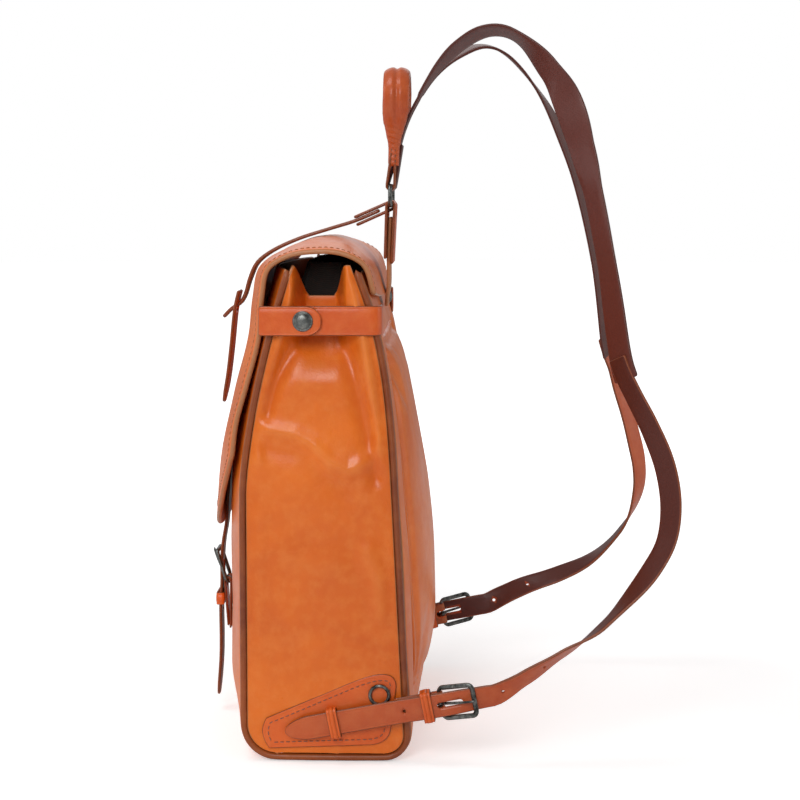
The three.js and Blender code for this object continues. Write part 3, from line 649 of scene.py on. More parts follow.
def on_side(shape, sign):
    """A shape's copy, mirrored across X = 0 for the left side."""
    copy = join(shape)
    if sign < 0:
        copy.points = mirrored(copy.points)
    return copy


def make_piece_on(name, shape, slot, body, *nodes):
    piece = make_piece(name, shape, slot)
    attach(piece, body)
    if nodes:
        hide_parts(*nodes)
    return piece


def on_root(piece, side="right"):
    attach(piece, "root")


def on_body(body):
    return lambda piece, side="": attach(piece, body.replace("SIDE", side))


def circle(radius, count, centre=(0, 0)):
    """Points round a circle as (a, b) pairs."""
    turns = (math.tau * k / count for k in range(count))
    return [(centre[0] + radius * math.cos(a), centre[1] + radius * math.sin(a)) for a in turns]


def placed(shape, matrix):
    moved = join(shape)
    moved.points = [matrix @ p for p in shape.points]
    return moved


def turned(profile, sides=40):
    """Solid of revolution about +Z, from (radius, height) points that start and end on the axis."""
    shape = Shape()
    rings = [shape.ring([(x, y, h) for x, y in circle(r, sides)]) for r, h in profile[1:-1]]
    shape.tube(rings)
    return shape


def facing_matrix(place, direction):
    turn = Vector(direction).to_track_quat("Z", "Y").to_matrix().to_4x4()
    return Matrix.Translation(Vector(place)) @ turn


def rounded_rectangle(x0, y0, x1, y1, radius, corner_steps=6, side_steps=5):
    """Closed outline as (x, y) points."""
    points = []
    corners = ((x1 - radius, y0 + radius, -90), (x1 - radius, y1 - radius, 0),
               (x0 + radius, y1 - radius, 90), (x0 + radius, y0 + radius, 180))
    for n, (x, y, start) in enumerate(corners):
        for k in range(corner_steps + 1):
            angle = math.radians(start + 90 * k / corner_steps)
            points.append((x + radius * math.cos(angle), y + radius * math.sin(angle)))
        nx, ny, nstart = corners[(n + 1) % 4]
        angle = math.radians(nstart)
        to = (nx + radius * math.cos(angle), ny + radius * math.sin(angle))
        here = points[-1]
        points += [(lerp(here[0], to[0], k / side_steps), lerp(here[1], to[1], k / side_steps))
                   for k in range(1, side_steps)]
    return points


# ---------------------------------------------------------------- bag outline

def corner_pull(z, radius, inset):
    if z >= radius:
        return inset
    return radius - math.sqrt(max(0, (radius - inset) ** 2 - (radius - z) ** 2))


def lean(z):
    return max(0, (z - STRAIGHT_TOP) / (BODY_TOP - STRAIGHT_TOP))


def front_seam(z, inset=0):
    return FRONT_Y + 36 * lean(z) ** 1.5 + corner_pull(z, FRONT_CORNER, inset)


def back_seam(z, inset=0):
    return BACK_Y - 0.05 * max(0, z - BACK_CORNER) - 22 * lean(z) ** 3 - corner_pull(z, BACK_CORNER, inset)


def panel_height(v, radius, top, inset=0):
    if v < 0.25:
        return radius - (radius - inset) * math.cos(v / 0.25 * math.pi / 2)
    return lerp(radius, top, (v - 0.25) / 0.75)


def front_belly(z):
    return 18.5 * smooth(z, -6, 60) - 2.5 * smooth(z, 150, 330)


def back_belly(z):
    return 18 * smooth(z, -6, 90) * (1 - smooth(z, 130, 325))


def ripple(x, y, z, size, height):
    return height * noise.noise(Vector((x, y, z)) / size)


def front_face(u, v):
    across = 1 - 2 * u
    z = panel_height(v, FRONT_CORNER, BODY_TOP - 3)
    x = -across * PANEL_HALF_WIDTH
    y = front_seam(z) - front_belly(z) * (1 - across ** 2)
    slack = (1 - across ** 4) * smooth(z, 4, 60)
    return vec(x, y + slack * (ripple(x, 0, z, 70, 1.6) + ripple(x, 9, z, 26, 0.35)), z)


PAD_HALF, PAD_LOW, PAD_HIGH, PAD_CORNER = 106, 44, 318, 24


def back_y(x, z):
    return back_seam(z) + back_belly(z) * (1 - (x / PANEL_HALF_WIDTH) ** 2)


def back_face(u, v):
    """The back panel, sunk where the padded panel lies on it."""
    z = panel_height(v, BACK_CORNER, BODY_TOP - 6)
    x = (1 - 2 * u) * PANEL_HALF_WIDTH
    under = smooth(PAD_HALF - abs(x), -2, 12) * smooth(z, PAD_LOW - 2, PAD_LOW + 14)
    under *= 1 - smooth(z, PAD_HIGH - 12, PAD_HIGH + 3)
    return vec(x, back_y(x, z) - 6.5 * under + ripple(x, 5, z, 60, 0.9) * (1 - under), z)


# Creases of the gusset as (y, z) lines, with the height and half width of the ridge or valley.
CREASES = (
    (((-25, 366), (-29, 338), (-36, 312), (-46, 288), (-52, 268), (-53, 250), (-50, 228)), 3.4, 6.0),
    (((25, 366), (28, 338), (33, 308), (38, 280), (43, 255), (47, 226)), 3.2, 6.0),
    (((-14, 330), (-24, 306), (-37, 280), (-43, 262)), -3.6, 6.5),
    (((12, 330), (20, 302), (28, 272), (36, 240), (41, 214)), -2.6, 6.5),
    (((-33, 352), (-40, 326), (-48, 300)), -2.2, 3.6),
    (((34, 352), (39, 322), (45, 296)), -2.0, 3.6),
    (((-50, 256), (-38, 249), (-20, 246), (-6, 238), (6, 226), (20, 219), (34, 227), (46, 243)), 2.0, 5.5),
    (((-42, 236), (-16, 232), (2, 214), (18, 205)), -1.1, 9.0),
    (((-24, 152), (-8, 148), (10, 146)), 1.0, 11.0),
    (((34, 158), (42, 138), (44, 112)), 1.5, 7.0),
    (((-48, 190), (-50, 140), (-48, 90)), 0.9, 7.0),
)


def line_distance(line, y, z):
    nearest = 1e9
    for (ay, az), (by, bz) in zip(line, line[1:]):
        dy, dz = by - ay, bz - az
        t = min(1, max(0, ((y - ay) * dy + (z - az) * dz) / (dy * dy + dz * dz)))
        nearest = min(nearest, math.hypot(y - ay - t * dy, z - az - t * dz))
    return nearest


def crease_height(y, z):
    return sum(height * math.exp(-(line_distance(line, y, z) / width) ** 2)
               for line, height, width in CREASES)


GUSSET_V_INSET = 1.2 / 400


MOUTH_SAG = 24
MOUTH_Y = -2


def gusset_place(u, v):
    """Place on the gusset as (y, z); its rim sags between the two pleats at the seams."""
    z = panel_height(v, FRONT_CORNER, BODY_TOP, GUSSET_INSET)
    y = lerp(front_seam(z, GUSSET_INSET), back_seam(z, GUSSET_INSET), u)
    sag = MOUTH_SAG * (1 - smooth(abs(y - MOUTH_Y), 9, 19))
    return y, z - sag * smooth(z, 250, BODY_TOP)


def gusset_fold(u, v):
    y, z = gusset_place(u, v)
    hem = smooth(u, 0, 0.12) * smooth(1 - u, 0, 0.12)
    return crease_height(y, z) * hem * smooth(z, 12, 50)


def gusset_face(u, v):
    y, z = gusset_place(u, v)
    across = 2 * u - 1
    wide = (1 - across ** 2) ** 2
    steep = 1 - smooth(abs(y - MOUTH_Y), 11, 21)
    cave = lerp(24 * wide, 30 * steep, smooth(z, 300, 336)) * smooth(z, 282, 332)
    full = 3.2 * (1 - across ** 2) * smooth(z, 10, 90) * (1 - smooth(z, 215, 275))
    x = HALF_WIDTH - cave + gusset_fold(u, v) * 1.35 + full
    return vec(x + ripple(1, y, z, 32, 0.5) * (1 - across ** 4), y, z)


def make_panels():
    front = leather_sheet(front_face, 72, 96, LEATHER, inset=(0.005, 0.003))
    piece = make_piece("bag_front", front, "body_leather")
    on_root(piece)
    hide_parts("front_panel")
    back = leather_sheet(back_face, 72, 96, LEATHER, inset=(0.005, 0.003))
    piece = make_piece("bag_back", back, "body_leather")
    on_root(piece)
    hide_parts("back_panel")
    low, high = (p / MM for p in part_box("bottom_panel"))
    flat = leather_sheet(lambda u, v: vec(lerp(low.x, high.x, u), lerp(high.y, low.y, v), 0), 60, 20, LEATHER,
                         inset=(0.005, 0.016))
    piece = make_piece("bag_bottom", flat, "body_leather")
    on_root(piece)
    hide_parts("bottom_panel")


def make_gussets():
    # The fold height also drives the painted shade in the valleys and the painted highlight on the ridges.
    fold = lambda u, v: max(-1.0, min(1.0, gusset_fold(u, v) / 3.0))
    sheet = leather_sheet(gusset_face, 84, 170, LEATHER, inset=(0.003, GUSSET_V_INSET), fold=fold)
    both_sides("side_gusset", sheet, "body_leather", on_root, "gusset")


def seam_line(inset):
    """Side outline of the bag at a distance inside its edge, as (y, z) points from front rim to back rim."""
    heights = [367, 345, 316, 290, 265, 240, 215, 190, 150, 120, 90, 60]
    points = [(front_seam(z, inset), z) for z in heights]
    for centre, radius, start in ((FRONT_Y + FRONT_CORNER, FRONT_CORNER, 180),
                                  (BACK_Y - BACK_CORNER, BACK_CORNER, 270)):
        for k in range(10):
            angle = math.radians(start + 10 * k)
            r = radius - inset
            points.append((centre + r * math.cos(angle), radius + r * math.sin(angle)))
    return points + [(back_seam(z, inset), z) for z in reversed(heights)]


def make_piping():
    route = side_route(PIPING_X, seam_line(2.9))
    count = round(route.length / 3)
    points = [route.at(route.length * k / count) for k in range(count + 1)]
    swell = lambda share, centre: PIPING_RADIUS * (1 + 0.05 * noise.noise(centre / 14)) * end_width(
        "round", min(share, 1 - share) * route.length, 5)
    cord = swept(points, swell, sides=14, up=(1, 0, 0))
    both_sides("edge_piping", cord, "edge_leather", on_root, "piping")


def make_lining():
    """Fabric bag inside the leather one, from (height, half width, front, back) levels."""
    levels = ((4.5, 100, -28, 32), (9, 112, -38, 40), (34, 116, -51, 44), (120, 116, -53, 44),
              (200, 116, -53, 44),
              (300, 103, -39, 32), (330, 95, -31, 28), (371, 86, -17, 19))
    shape = Shape()
    rings = []
    for low, high in zip(levels, levels[1:]):
        steps = 3 if high[0] < 30 else 8
        for k in range(steps + (high is levels[-1])):
            z, half, front, back = (lerp(a, b, k / steps) for a, b in zip(low, high))
            ring = []
            for q in range(96):
                angle = math.tau * q / 96
                square = lambda value: math.copysign(abs(value) ** 0.4, value)
                slack = 1.4 * math.sin(angle * 11 + z * 0.03) * smooth(z, 40, 200)
                x = square(math.cos(angle)) * (half - 1.5 + slack * 0.6)
                y = (front + back) / 2 + square(math.sin(angle)) * ((back - front) / 2 - 1.5 + slack * 0.5)
                ring.append((x, y, z))
            rings.append(shape.ring(ring))
    for a, b in zip(rings, rings[1:]):
        shape.bridge(a, b)
    shape.cap(rings[0])
    piece = make_piece("inner_lining", shape, "lining_fabric")
    add_modifier(piece, "SOLIDIFY", thickness=0.0008, offset=-1.0)
    bake_modifiers(piece)
    on_root(piece)
    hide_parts("lining")


# ---------------------------------------------------------------- padded pieces

def inflate(piece, voxel, cap, pressure=4.0, pinned=None, frames=20):
    """Remeshes a closed pad and swells it as cloth; no point moves further than cap, in millimetres."""
    add_modifier(piece, "REMESH", mode="VOXEL", voxel_size=voxel * MM, use_smooth_shade=True)
    bake_modifiers(piece)
    rest = [v.co.copy() for v in piece.data.vertices]
    cloth = add_modifier(piece, "CLOTH")
    settings = cloth.settings
    settings.quality = 6
    settings.mass = 0.25
    settings.tension_stiffness = 20
    settings.compression_stiffness = 20
    settings.bending_stiffness = 2.0
    settings.use_pressure = True
    settings.uniform_pressure_force = pressure
    settings.effector_weights.gravity = 0
    if pinned:
        group = piece.vertex_groups.new(name="pinned")
        group.add([v.index for v in piece.data.vertices if pinned(v.co / MM)], 1.0, "REPLACE")
        settings.vertex_group_mass = "pinned"
    cloth.point_cache.frame_start = 1
    cloth.point_cache.frame_end = frames
    for number in range(1, frames + 1):
        bpy.context.scene.frame_set(number)
    bake_modifiers(piece)
    bpy.context.scene.frame_set(1)
    for vertex, home in zip(piece.data.vertices, rest):
        move = vertex.co - home
        if move.length > cap * MM:
            vertex.co = home + move.normalized() * cap * MM
    add_modifier(piece, "SUBSURF", levels=1, render_levels=1)
    bake_modifiers(piece)
    piece.data.shade_smooth()


def shift_points(piece, change):
    """Moves every point by change(point in millimetres), which returns a vector in millimetres."""
    for vertex in piece.data.vertices:
        vertex.co += change(vertex.co / MM) * MM


def pad_half(z):
    gap = min(z - PAD_LOW, PAD_HIGH - z)
    if gap >= PAD_CORNER:
        return PAD_HALF
    return PAD_HALF - PAD_CORNER + math.sqrt(max(0.0, PAD_CORNER ** 2 - (PAD_CORNER - gap) ** 2))


def make_back_pad():
    def face(u, v):
        z = lerp(PAD_LOW, PAD_HIGH, v)
        x = (1 - 2 * u) * pad_half(z)
        return vec(x, back_y(x, z) + 0.8, z)

    pad = make_piece("back_padding", leather_sheet(face, 44, 60, 8.5, inset=(0.02, 0.016)), "body_leather")
    inflate(pad, 4.5, 5.0, pinned=lambda p: p.y < back_y(p.x, p.z) - 5.5)

    def sewn(p):
        """Groove of the sewn line inside the pad's edge."""
        edge = min(PAD_HALF - abs(p.x), PAD_HIGH - p.z, p.z - PAD_LOW)
        outer = smooth(p.y - back_y(p.x, p.z), -4, 0)
        return vec(0, -2.4 * math.exp(-((edge - 9) / 3.0) ** 2) * outer, 0)

    shift_points(pad, sewn)
    on_root(pad)
    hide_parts("back_pad")


# ---------------------------------------------------------------- flap

FLAP_MIDDLE = side_route(0, [(42.8, 343), (34, 368), (17, 384.5), (-6, 389.2), (-32, 381.4), (-55, 366),
                             (-61, 342),
                             (-64.5, 313), (-76, 268), (-87, 215), (-91.5, 157)])
FLAP_EDGE = side_route(0, [(40, 350), (32.5, 371.5), (16, 380.5), (-6, 382), (-26, 378.5), (-41, 368.5),
                           (-46, 345),
                           (-48.5, 316), (-57.5, 282), (-65, 256), (-68.5, 231)])


def flap_face(u, v):
    across = 1 - 2 * u
    point = FLAP_MIDDLE.by_points(v).lerp(FLAP_EDGE.by_points(v), abs(across) ** 2.5)
    point.x = across * FLAP_HALF_WIDTH
    point.z += ripple(point.x, 0, point.z + 3 * point.y, 48, 0.9) * (1 - across ** 6) * smooth(v, 0, 0.1)
    return point


def make_flap():
    def thick(u, v):
        rim = min(u * 2 * FLAP_HALF_WIDTH, (1 - u) * 2 * FLAP_HALF_WIDTH, (1 - v) * 320)
        return FLAP_LEATHER + 1.3 * (1 - smooth(rim, 5, 9))

    flap = make_piece("flap", leather_sheet(flap_face, 84, 110, thick, inset=(0.006, 0.005)), "body_leather")
    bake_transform(flap)
    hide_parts("flap_rear", "flap_front")

    inset = 8 / (2 * FLAP_HALF_WIDTH)
    line = [flap_face(inset, v / 120) for v in range(1, 116)]
    tip = [flap_face(lerp(inset, 1 - inset, u / 80), 1 - 8 / 320) for u in range(1, 80)]
    line += tip + [flap_face(1 - inset, v / 120) for v in range(115, 0, -1)]
    away = lambda p: p - vec(p.x * 0.8, -10, 260)
    sewn = make_piece("flap_stitching", stitches(line, away), "body_leather", THREADS["body_leather"])
    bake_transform(sewn)


# ---------------------------------------------------------------- straps, folds and buckles

def strap_frame(heel, along, outward):
    along, outward = Vector(along), Vector(outward)
    across = outward.cross(along)
    turn = Matrix((along, across, outward)).transposed().to_4x4()
    return Matrix.Translation(Vector(heel)) @ turn


SLOPE = math.radians(11.4)
FRONT_FRAME = strap_frame((0, -86.2, 108), (0, 0, 1), (0, -1, 0))
SIDE_ALONG = (0, math.cos(SLOPE), math.sin(SLOPE))
SIDE_FRAME = strap_frame((134.6, 88, 47), SIDE_ALONG, (1, 0, 0))


def across_axis(axis):
    """Facing rule for a strap whose width always lies along one axis."""
    return lambda t, tangent: Vector(axis).cross(tangent)


def buckle_frame():
    """Cast frame: thin heel bar, heavier rounded sides and rear bar, tilted up from the heel."""
    tilt = Matrix.Rotation(-math.atan2(7.9, 25), 4, "Y")
    outline = rounded_rectangle(0, -11.6, math.hypot(25, 7.9) + 0.2, 11.6, 3.6)
    points = [tilt @ vec(x, y, 0) for x, y in outline]
    size = lambda share, p: lerp(1.35, 1.9, smooth(p.x, 0.6, 3.5))
    return swept(points, size, sides=14, closed=True, flat=0.8, up=tilt @ vec(0, 0, 1))


def buckle_prong():
    eye = swept([vec(x, 0, z) for x, z in circle(2.65, 24)], 0.8, sides=10, closed=True, up=(0, 1, 0))
    route = Route([(1.7, 0, 1.9), (9, 0, 5.6), (18, 0, 9.4), (24, 0, 11.4), (26.6, 0, 11.7)])
    points = [route.at(route.length * k / 16) for k in range(17)]
    taper = lambda share, p: lerp(1.15, 0.85, share) * end_width("round", (1 - share) * route.length, 1.8)
    return join(eye, swept(points, taper, sides=12, up=(0, 1, 0)))


def prong_slot(matrix, across):
    """Slot through a strap, long enough for the buckle's prong to lift."""
    return rod(matrix @ vec(7, 0, 0), matrix @ vec(7, 0, 9), 2.1, wide=19.5, across=across)


def heel_slot(matrix, across):
    """Slot through a chape for the eye of the prong."""
    return rod(matrix @ vec(0, 0, -6), matrix @ vec(0, 0, 6), 2.5, wide=11, across=across)


def chape(inner_end, outer_end):
    points = fold_points((0, 0, 0), (1, 0, 0), (0, 0, 1), 2.5, outer_end, inner_end)
    return band(Route(points, rounded=False), across_axis((0, 1, 0)), STRAP_WIDTH, 1.4, step=2.5)


def keeper(x, length, low, high, inside=20, wall=1.3):
    """Leather loop round a strap: x is its place along the strap, low and high its clear depth."""
    half = (inside + wall) / 2
    outline = rounded_rectangle(-half, low - wall / 2, half, high + wall / 2, 1.5,
                                corner_steps=5, side_steps=6)
    section = strap_section(length, wall, 0.3, 0.0)
    shape = Shape()
    rings = []
    count = len(outline)
    for k in range(count):
        (ay, az), (by, bz) = outline[k - 1], outline[(k + 1) % count]
        out = vec(0, bz - az, ay - by).normalized()
        y, z = outline[k]
        rings.append([shape.add(vec(x + s, y, z) + out * h, rim=rim) for s, h, rim, flesh in section])
    shape.tube(rings, closed=True)
    return shape


def place_shape(name, shape, matrix, slot, body, *nodes):
    return make_piece_on(name, placed(shape, matrix), slot, body, *nodes)


def make_closure():
    route = side_route(0, [(-80.9, 230), (-83.2, 205), (-85.6, 180), (-87, 158), (-90, 140), (-91.2, 126),
                           (-91.2, 108), (-92.3, 89), (-92.2, 60), (-92.6, 43), (-95, 12)])
    strap = make_piece("closure_strap_leather", band(
        route, lambda t, tangent: vec(0, -1, 0), lambda t: STRAP_WIDTH - 6 * smooth(t, 0.93, 1),
        ends=("square", "point")), "strap_leather")
    holes = [rod((0, -97, z), (0, -85, z), 1.3) for z in (84, 62, 40)]
    punch(strap, [prong_slot(FRONT_FRAME, (0, 0, 1)), *holes])
    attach(strap, "flap")
    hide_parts("closure_strap")
    place_shape("front_buckle", buckle_frame(), FRONT_FRAME, "antique_metal", "flap", "front_buckle_frame")
    place_shape("front_prong", buckle_prong(), FRONT_FRAME, "antique_metal", "front_prong",
                "front_buckle_prong")
    fold = place_shape("front_chape_leather", chape((-39, -1.9), (-37, -0.2)), FRONT_FRAME, "tab_leather",
                       "flap", "front_chape")
    punch(fold, [heel_slot(FRONT_FRAME, (0, 0, 1))])
    place_shape("front_keeper_leather", keeper(-14, 10, 3.8, 8.2, 20, 1.0), FRONT_FRAME, "tab_leather",
                "flap", "front_keeper")
    button = ((0, 0), (4.2, 0), (4.2, 0.5), (3.8, 0.9), (3.1, 1.1), (2.6, 1.7), (1.4, 2.3), (0.4, 2.4),
              (0, 2.4))
    place_shape("closure_rivet_cap", turned(button), facing_matrix((0, -88.1, 219), (0, -1, 0.1)),
                "antique_metal", "flap", "closure_rivet")


SNAP_PROFILE = ((0, 0), (7.2, 0), (7.5, 0.3), (7.5, 0.75), (7.2, 1.05), (6.7, 1.1), (6.35, 0.95), (6.0, 1.1),
                (5.4, 1.75), (4.2, 2.3), (2.4, 2.65), (0.5, 2.8), (0, 2.8))


def make_side_straps():
    rear = Route([(130.5, -24, TAB_Z), (130.5, 0, TAB_Z), (130.5, 36, TAB_Z), (129.6, 40.5, TAB_Z),
                  (126.2, 42.9, TAB_Z), (111.4, 43.2, TAB_Z)])
    strap = band(rear, across_axis((0, 0, -1)), 22, ends=("round", "square"), step=2.5)
    both_sides("rear_side_strap", strap, "tab_leather", on_root, "side_strap")
    front = Route([(134.2, -45.5, TAB_Z), (134.25, -30, TAB_Z), (134.2, -15, TAB_Z), (134.2, 0.5, TAB_Z)])
    tab = band(front, across_axis((0, 0, -1)), 22, ends=("square", "round"), step=2.5)
    both_sides("snap_tab", tab, "tab_leather", on_body("tab_SIDE"), "side_tab")
    cap = placed(turned(SNAP_PROFILE, 48), facing_matrix((135.6, -13, TAB_Z), (1, 0, 0)))
    both_sides("snap_button", cap, "antique_metal", on_body("tab_SIDE"), "snap_cap")
    stud = placed(turned(((0, 0), (4.5, 0), (4.5, 0.5), (3.9, 0.9), (2.2, 0.9), (2.0, 0.6), (0, 0.6)), 32),
                  facing_matrix((131.9, -13, TAB_Z), (1, 0, 0)))
    both_sides("snap_post", stud, "antique_metal", on_root, "snap_stud")


def patch_outline(steps=8):
    """Outline of the triangular patch behind the lower strap, as (y, z) points."""
    def bend(a, b, c):
        return [tuple((1 - t) ** 2 * p + 2 * t * (1 - t) * q + t * t * r for p, q, r in zip(a, b, c))
                for t in (k / steps for k in range(1, steps + 1))]

    def straight(a, b, count):
        return [tuple(lerp(p, q, k / count) for p, q in zip(a, b)) for k in range(1, count + 1)]

    points = straight((-40, 10), (35, 13), 22) + bend((35, 13), (49, 14), (51, 25))
    points += straight((51, 25), (55, 56), 9) + bend((55, 56), (56, 67), (45, 67))
    points += bend((45, 67), (36, 67), (20, 60))
    return points + straight((20, 60), (-42, 33), 20) + bend((-42, 33), (-49, 22), (-40, 10))


def make_patches():
    outline = patch_outline()
    count = len(outline)
    middle = (sum(p[0] for p in outline) / count, sum(p[1] for p in outline) / count)

    def pulled(inset):
        loop = []
        for k, (y, z) in enumerate(outline):
            (ay, az), (by, bz) = outline[k - 1], outline[(k + 1) % count]
            size = math.hypot(bz - az, ay - by)
            loop.append((y - (bz - az) / size * inset, z - (ay - by) / size * inset))
        return loop

    shape = Shape()
    rings = [shape.ring([(128.5, y, z) for y, z in pulled(0.7)], rim=1.0)]
    for x, inset, rim in ((128.9, 0.15, 1.0), (129.4, 0, 1.0), (129.9, 0.25, 1.0), (130.1, 0.8, 0.0),
                          (130.1, 2.0, 0.0), (129.95, 2.5, 0.0), (130.12, 3.1, 0.0)):
        rings.append(shape.ring([(x, y, z) for y, z in pulled(inset)], rim=rim))
    edge = pulled(3.1)
    for share in (0.25, 0.5, 0.75, 0.93):
        rings.append(shape.ring([(130.15, lerp(y, middle[0], share), lerp(z, middle[1], share))
                                 for y, z in edge]))
    shape.tube(rings)
    both_sides("anchor_patch", shape, "tab_leather", on_root, "strap_patch")
    line = [vec(130.2, y, z) for y, z in pulled(4.6)]
    sewn = stitches(line + line[:1], lambda p: vec(1, 0, 0))
    both_sides("patch_stitching", sewn, "tab_leather", on_root, material=THREADS["tab_leather"])


def make_lower_anchors():
    make_patches()
    loop = swept([vec(131.8, y, z) for y, z in circle(7, 40, (42.5, 51.6))], 1.3, sides=14, closed=True,
                 up=(1, 0, 0))
    both_sides("small_ring", loop, "antique_metal", on_root, "lower_ring")
    both_sides("side_buckle", placed(buckle_frame(), SIDE_FRAME), "antique_metal", on_root,
               "lower_buckle_frame")
    both_sides("side_prong", placed(buckle_prong(), SIDE_FRAME), "antique_metal", on_body("prong_SIDE"),
               "lower_buckle_prong")
    slot = heel_slot(SIDE_FRAME, SIDE_ALONG)
    for name, shape, node_name, cuts in (
            ("side_chape", chape((-34, -2.9), (-32, -0.9)), "lower_chape", [slot]),
            ("loose_keeper", keeper(-10, 8, -3.9, 6.6), "strap_keeper", ()),
            ("fixed_keeper", keeper(-81, 8, -2.3, 2.3), "patch_keeper", ())):
        both_sides(name, placed(shape, SIDE_FRAME), "tab_leather", on_root, node_name, cuts)


# ---------------------------------------------------------------- top ring and what hangs on it

def make_ring():
    outline = rounded_rectangle(-29.7, RING_BOTTOM_Z, 29.7, RING_TOP_Z, 5.5, corner_steps=8, side_steps=8)
    ring = swept([vec(x, RING_Y, z) for x, z in outline], WIRE, sides=16, closed=True, up=(0, 1, 0))
    piece = make_piece("carry_ring", ring, "antique_metal")
    on_root(piece)
    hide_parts("top_ring")


def ring_fold(x, bar_z, radius, end_a, end_b, width, thickness):
    points = fold_points((x, RING_Y, bar_z), (0, 1, 0), (0, 0, 1), radius,
                         (end_a[0] - RING_Y, end_a[1] - bar_z), (end_b[0] - RING_Y, end_b[1] - bar_z))
    return band(Route(points, rounded=False), across_axis((1, 0, 0)), width, thickness, step=2.5)


def make_hanger():
    route = side_route(0, [(46.6, 404), (45.8, 388), (45.2, 371), (45.2, 352), (44.2, 341), (43.4, 333)])
    leaf = band(route, lambda t, tangent: vec(0, 1, 0), 34, 3.0)
    make_piece_on("hanger_leaf", leaf, "hanger_leather", "root", "hanger_strap")
    fold = make_piece_on("hanger_fold", ring_fold(0, RING_BOTTOM_Z, 3.2, (42.6, 371), (47.9, 367), 46, 2.2),
                         "tab_leather", "root", "hanger_chape")
    punch(fold, [rod((0, 25, 415), (0, 70, 415), 10.2, wide=20.5, across=(1, 0, 0), sides=36)])
    button = ((0, 0), (4.5, 0), (4.5, 0.4), (4.1, 0.8), (3.3, 1.0), (2.6, 1.5), (1.3, 1.9), (0.4, 2.0),
              (0, 2.0))
    cap = placed(turned(button), facing_matrix((0, 45.7, 340), (0, 1, 0)))
    make_piece_on("hanger_rivet_cap", cap, "antique_metal", "root", "hanger_rivet")


def make_lash():
    make_piece_on("lash_fold", ring_fold(0, RING_BOTTOM_Z, 3.0, (17.3, 403.6), (19.2, 397.6), 19, 2.4),
                  "tab_leather", "lash", "lash_chape")
    route = side_route(0, [(37.5, 409.2), (18, 400.9), (-3, 394.4), (-29, 386), (-50, 376), (-61, 367),
                           (-67, 354), (-71, 341), (-75, 334.5), (-81, 331), (-89, 323)])
    strap = band(route, lambda t, tangent: vec(0, -0.5, 1), lambda t: 19 - 6 * smooth(t, 0.72, 0.82), 2.8,
                 ends=("square", "round"))
    make_piece_on("lash_band", strap, "strap_leather", "lash", "lash_strap")
    route = side_route(0, [(-75.4, 345), (-78.5, 331.5), (-82, 300), (-85, 276), (-89, 254)])
    tongue = make_piece_on("slit_tongue", band(
        route, lambda t, tangent: vec(0, -1, 0), lambda t: 24 - 10 * smooth(t, 0.85, 1), 2.4,
        ends=("square", "round")), "tab_leather", "tongue", "lash_tongue")
    punch(tongue, [rod((0, -84, 332.2), (0, -72, 332.2), 4.4, wide=16, across=(1, 0, 0))])


GRIP_SIDE = [(19.6, 49.4, 444), (19.6, 49.7, 455), (20.6, 49.9, 464), (24.5, 50.4, 475), (31, 51.4, 489),
             (32, 52, 504), (20, 52, 515)]
GRIP = Route(GRIP_SIDE + [(0, 52, 518)] + [(-x, y, z) for x, y, z in reversed(GRIP_SIDE)])


def make_handle():
    for side, sign in SIDES:
        leg = ring_fold(19.6 * sign, RING_TOP_Z, 3.1, (48.4, 459.5), (50.9, 459.5), 8, 1.9)
        make_piece_on(f"handle_fold_{side}", leg, "tab_leather", "handle", f"handle_leg_{side}")
    shape = Shape()
    rings = []
    steps = 60
    for j in range(steps + 1):
        t = j / steps
        centre, tangent = GRIP.at(GRIP.length * t), GRIP.tangent(GRIP.length * t)
        full = smooth(centre.z, 457, 489)
        out = vec(0, 1, 0).cross(tangent).normalized()
        thin, wide = lerp(3.9, 5.4, full), lerp(5.0, 11.0, full)
        rings.append(shape.ring([
            centre + out * (thin * math.cos(a)) + vec(0, wide * math.sin(a), 0)
            for a in (math.tau * k / 20 for k in range(20))]))
    shape.tube(rings)
    # The grip takes the darker strap leather instead of its slot's body leather, partly as painted shade on
    # the grip.
    grip = make_piece("grip_padding", shape, "body_leather", MATERIALS["strap_leather"])
    inflate(grip, 2.2, 1.2, pressure=6)
    centre = vec(0, 52, 494)

    def sewn(p):
        """Groove round the outside where the leather's two edges meet, and creases at the necks."""
        out = vec(p.x - centre.x, 0, p.z - centre.z)
        place = min(GRIP.line, key=lambda q: (q - p).length_squared)
        side = (p - place).dot(out.normalized())
        neck = 1 - smooth(p.z, 460, 480)
        groove = 1.6 * math.exp(-((p.y - 52) / 1.8) ** 2) * smooth(side, 0, 3) * smooth(p.z, 470, 486)
        wrinkle = 0.5 * neck * math.sin(p.z * 1.5 + p.y * 0.4)
        return -out.normalized() * (groove + wrinkle)

    shift_points(grip, sewn)
    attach(grip, "handle")
    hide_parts("handle_grip")


# ---------------------------------------------------------------- shoulder straps

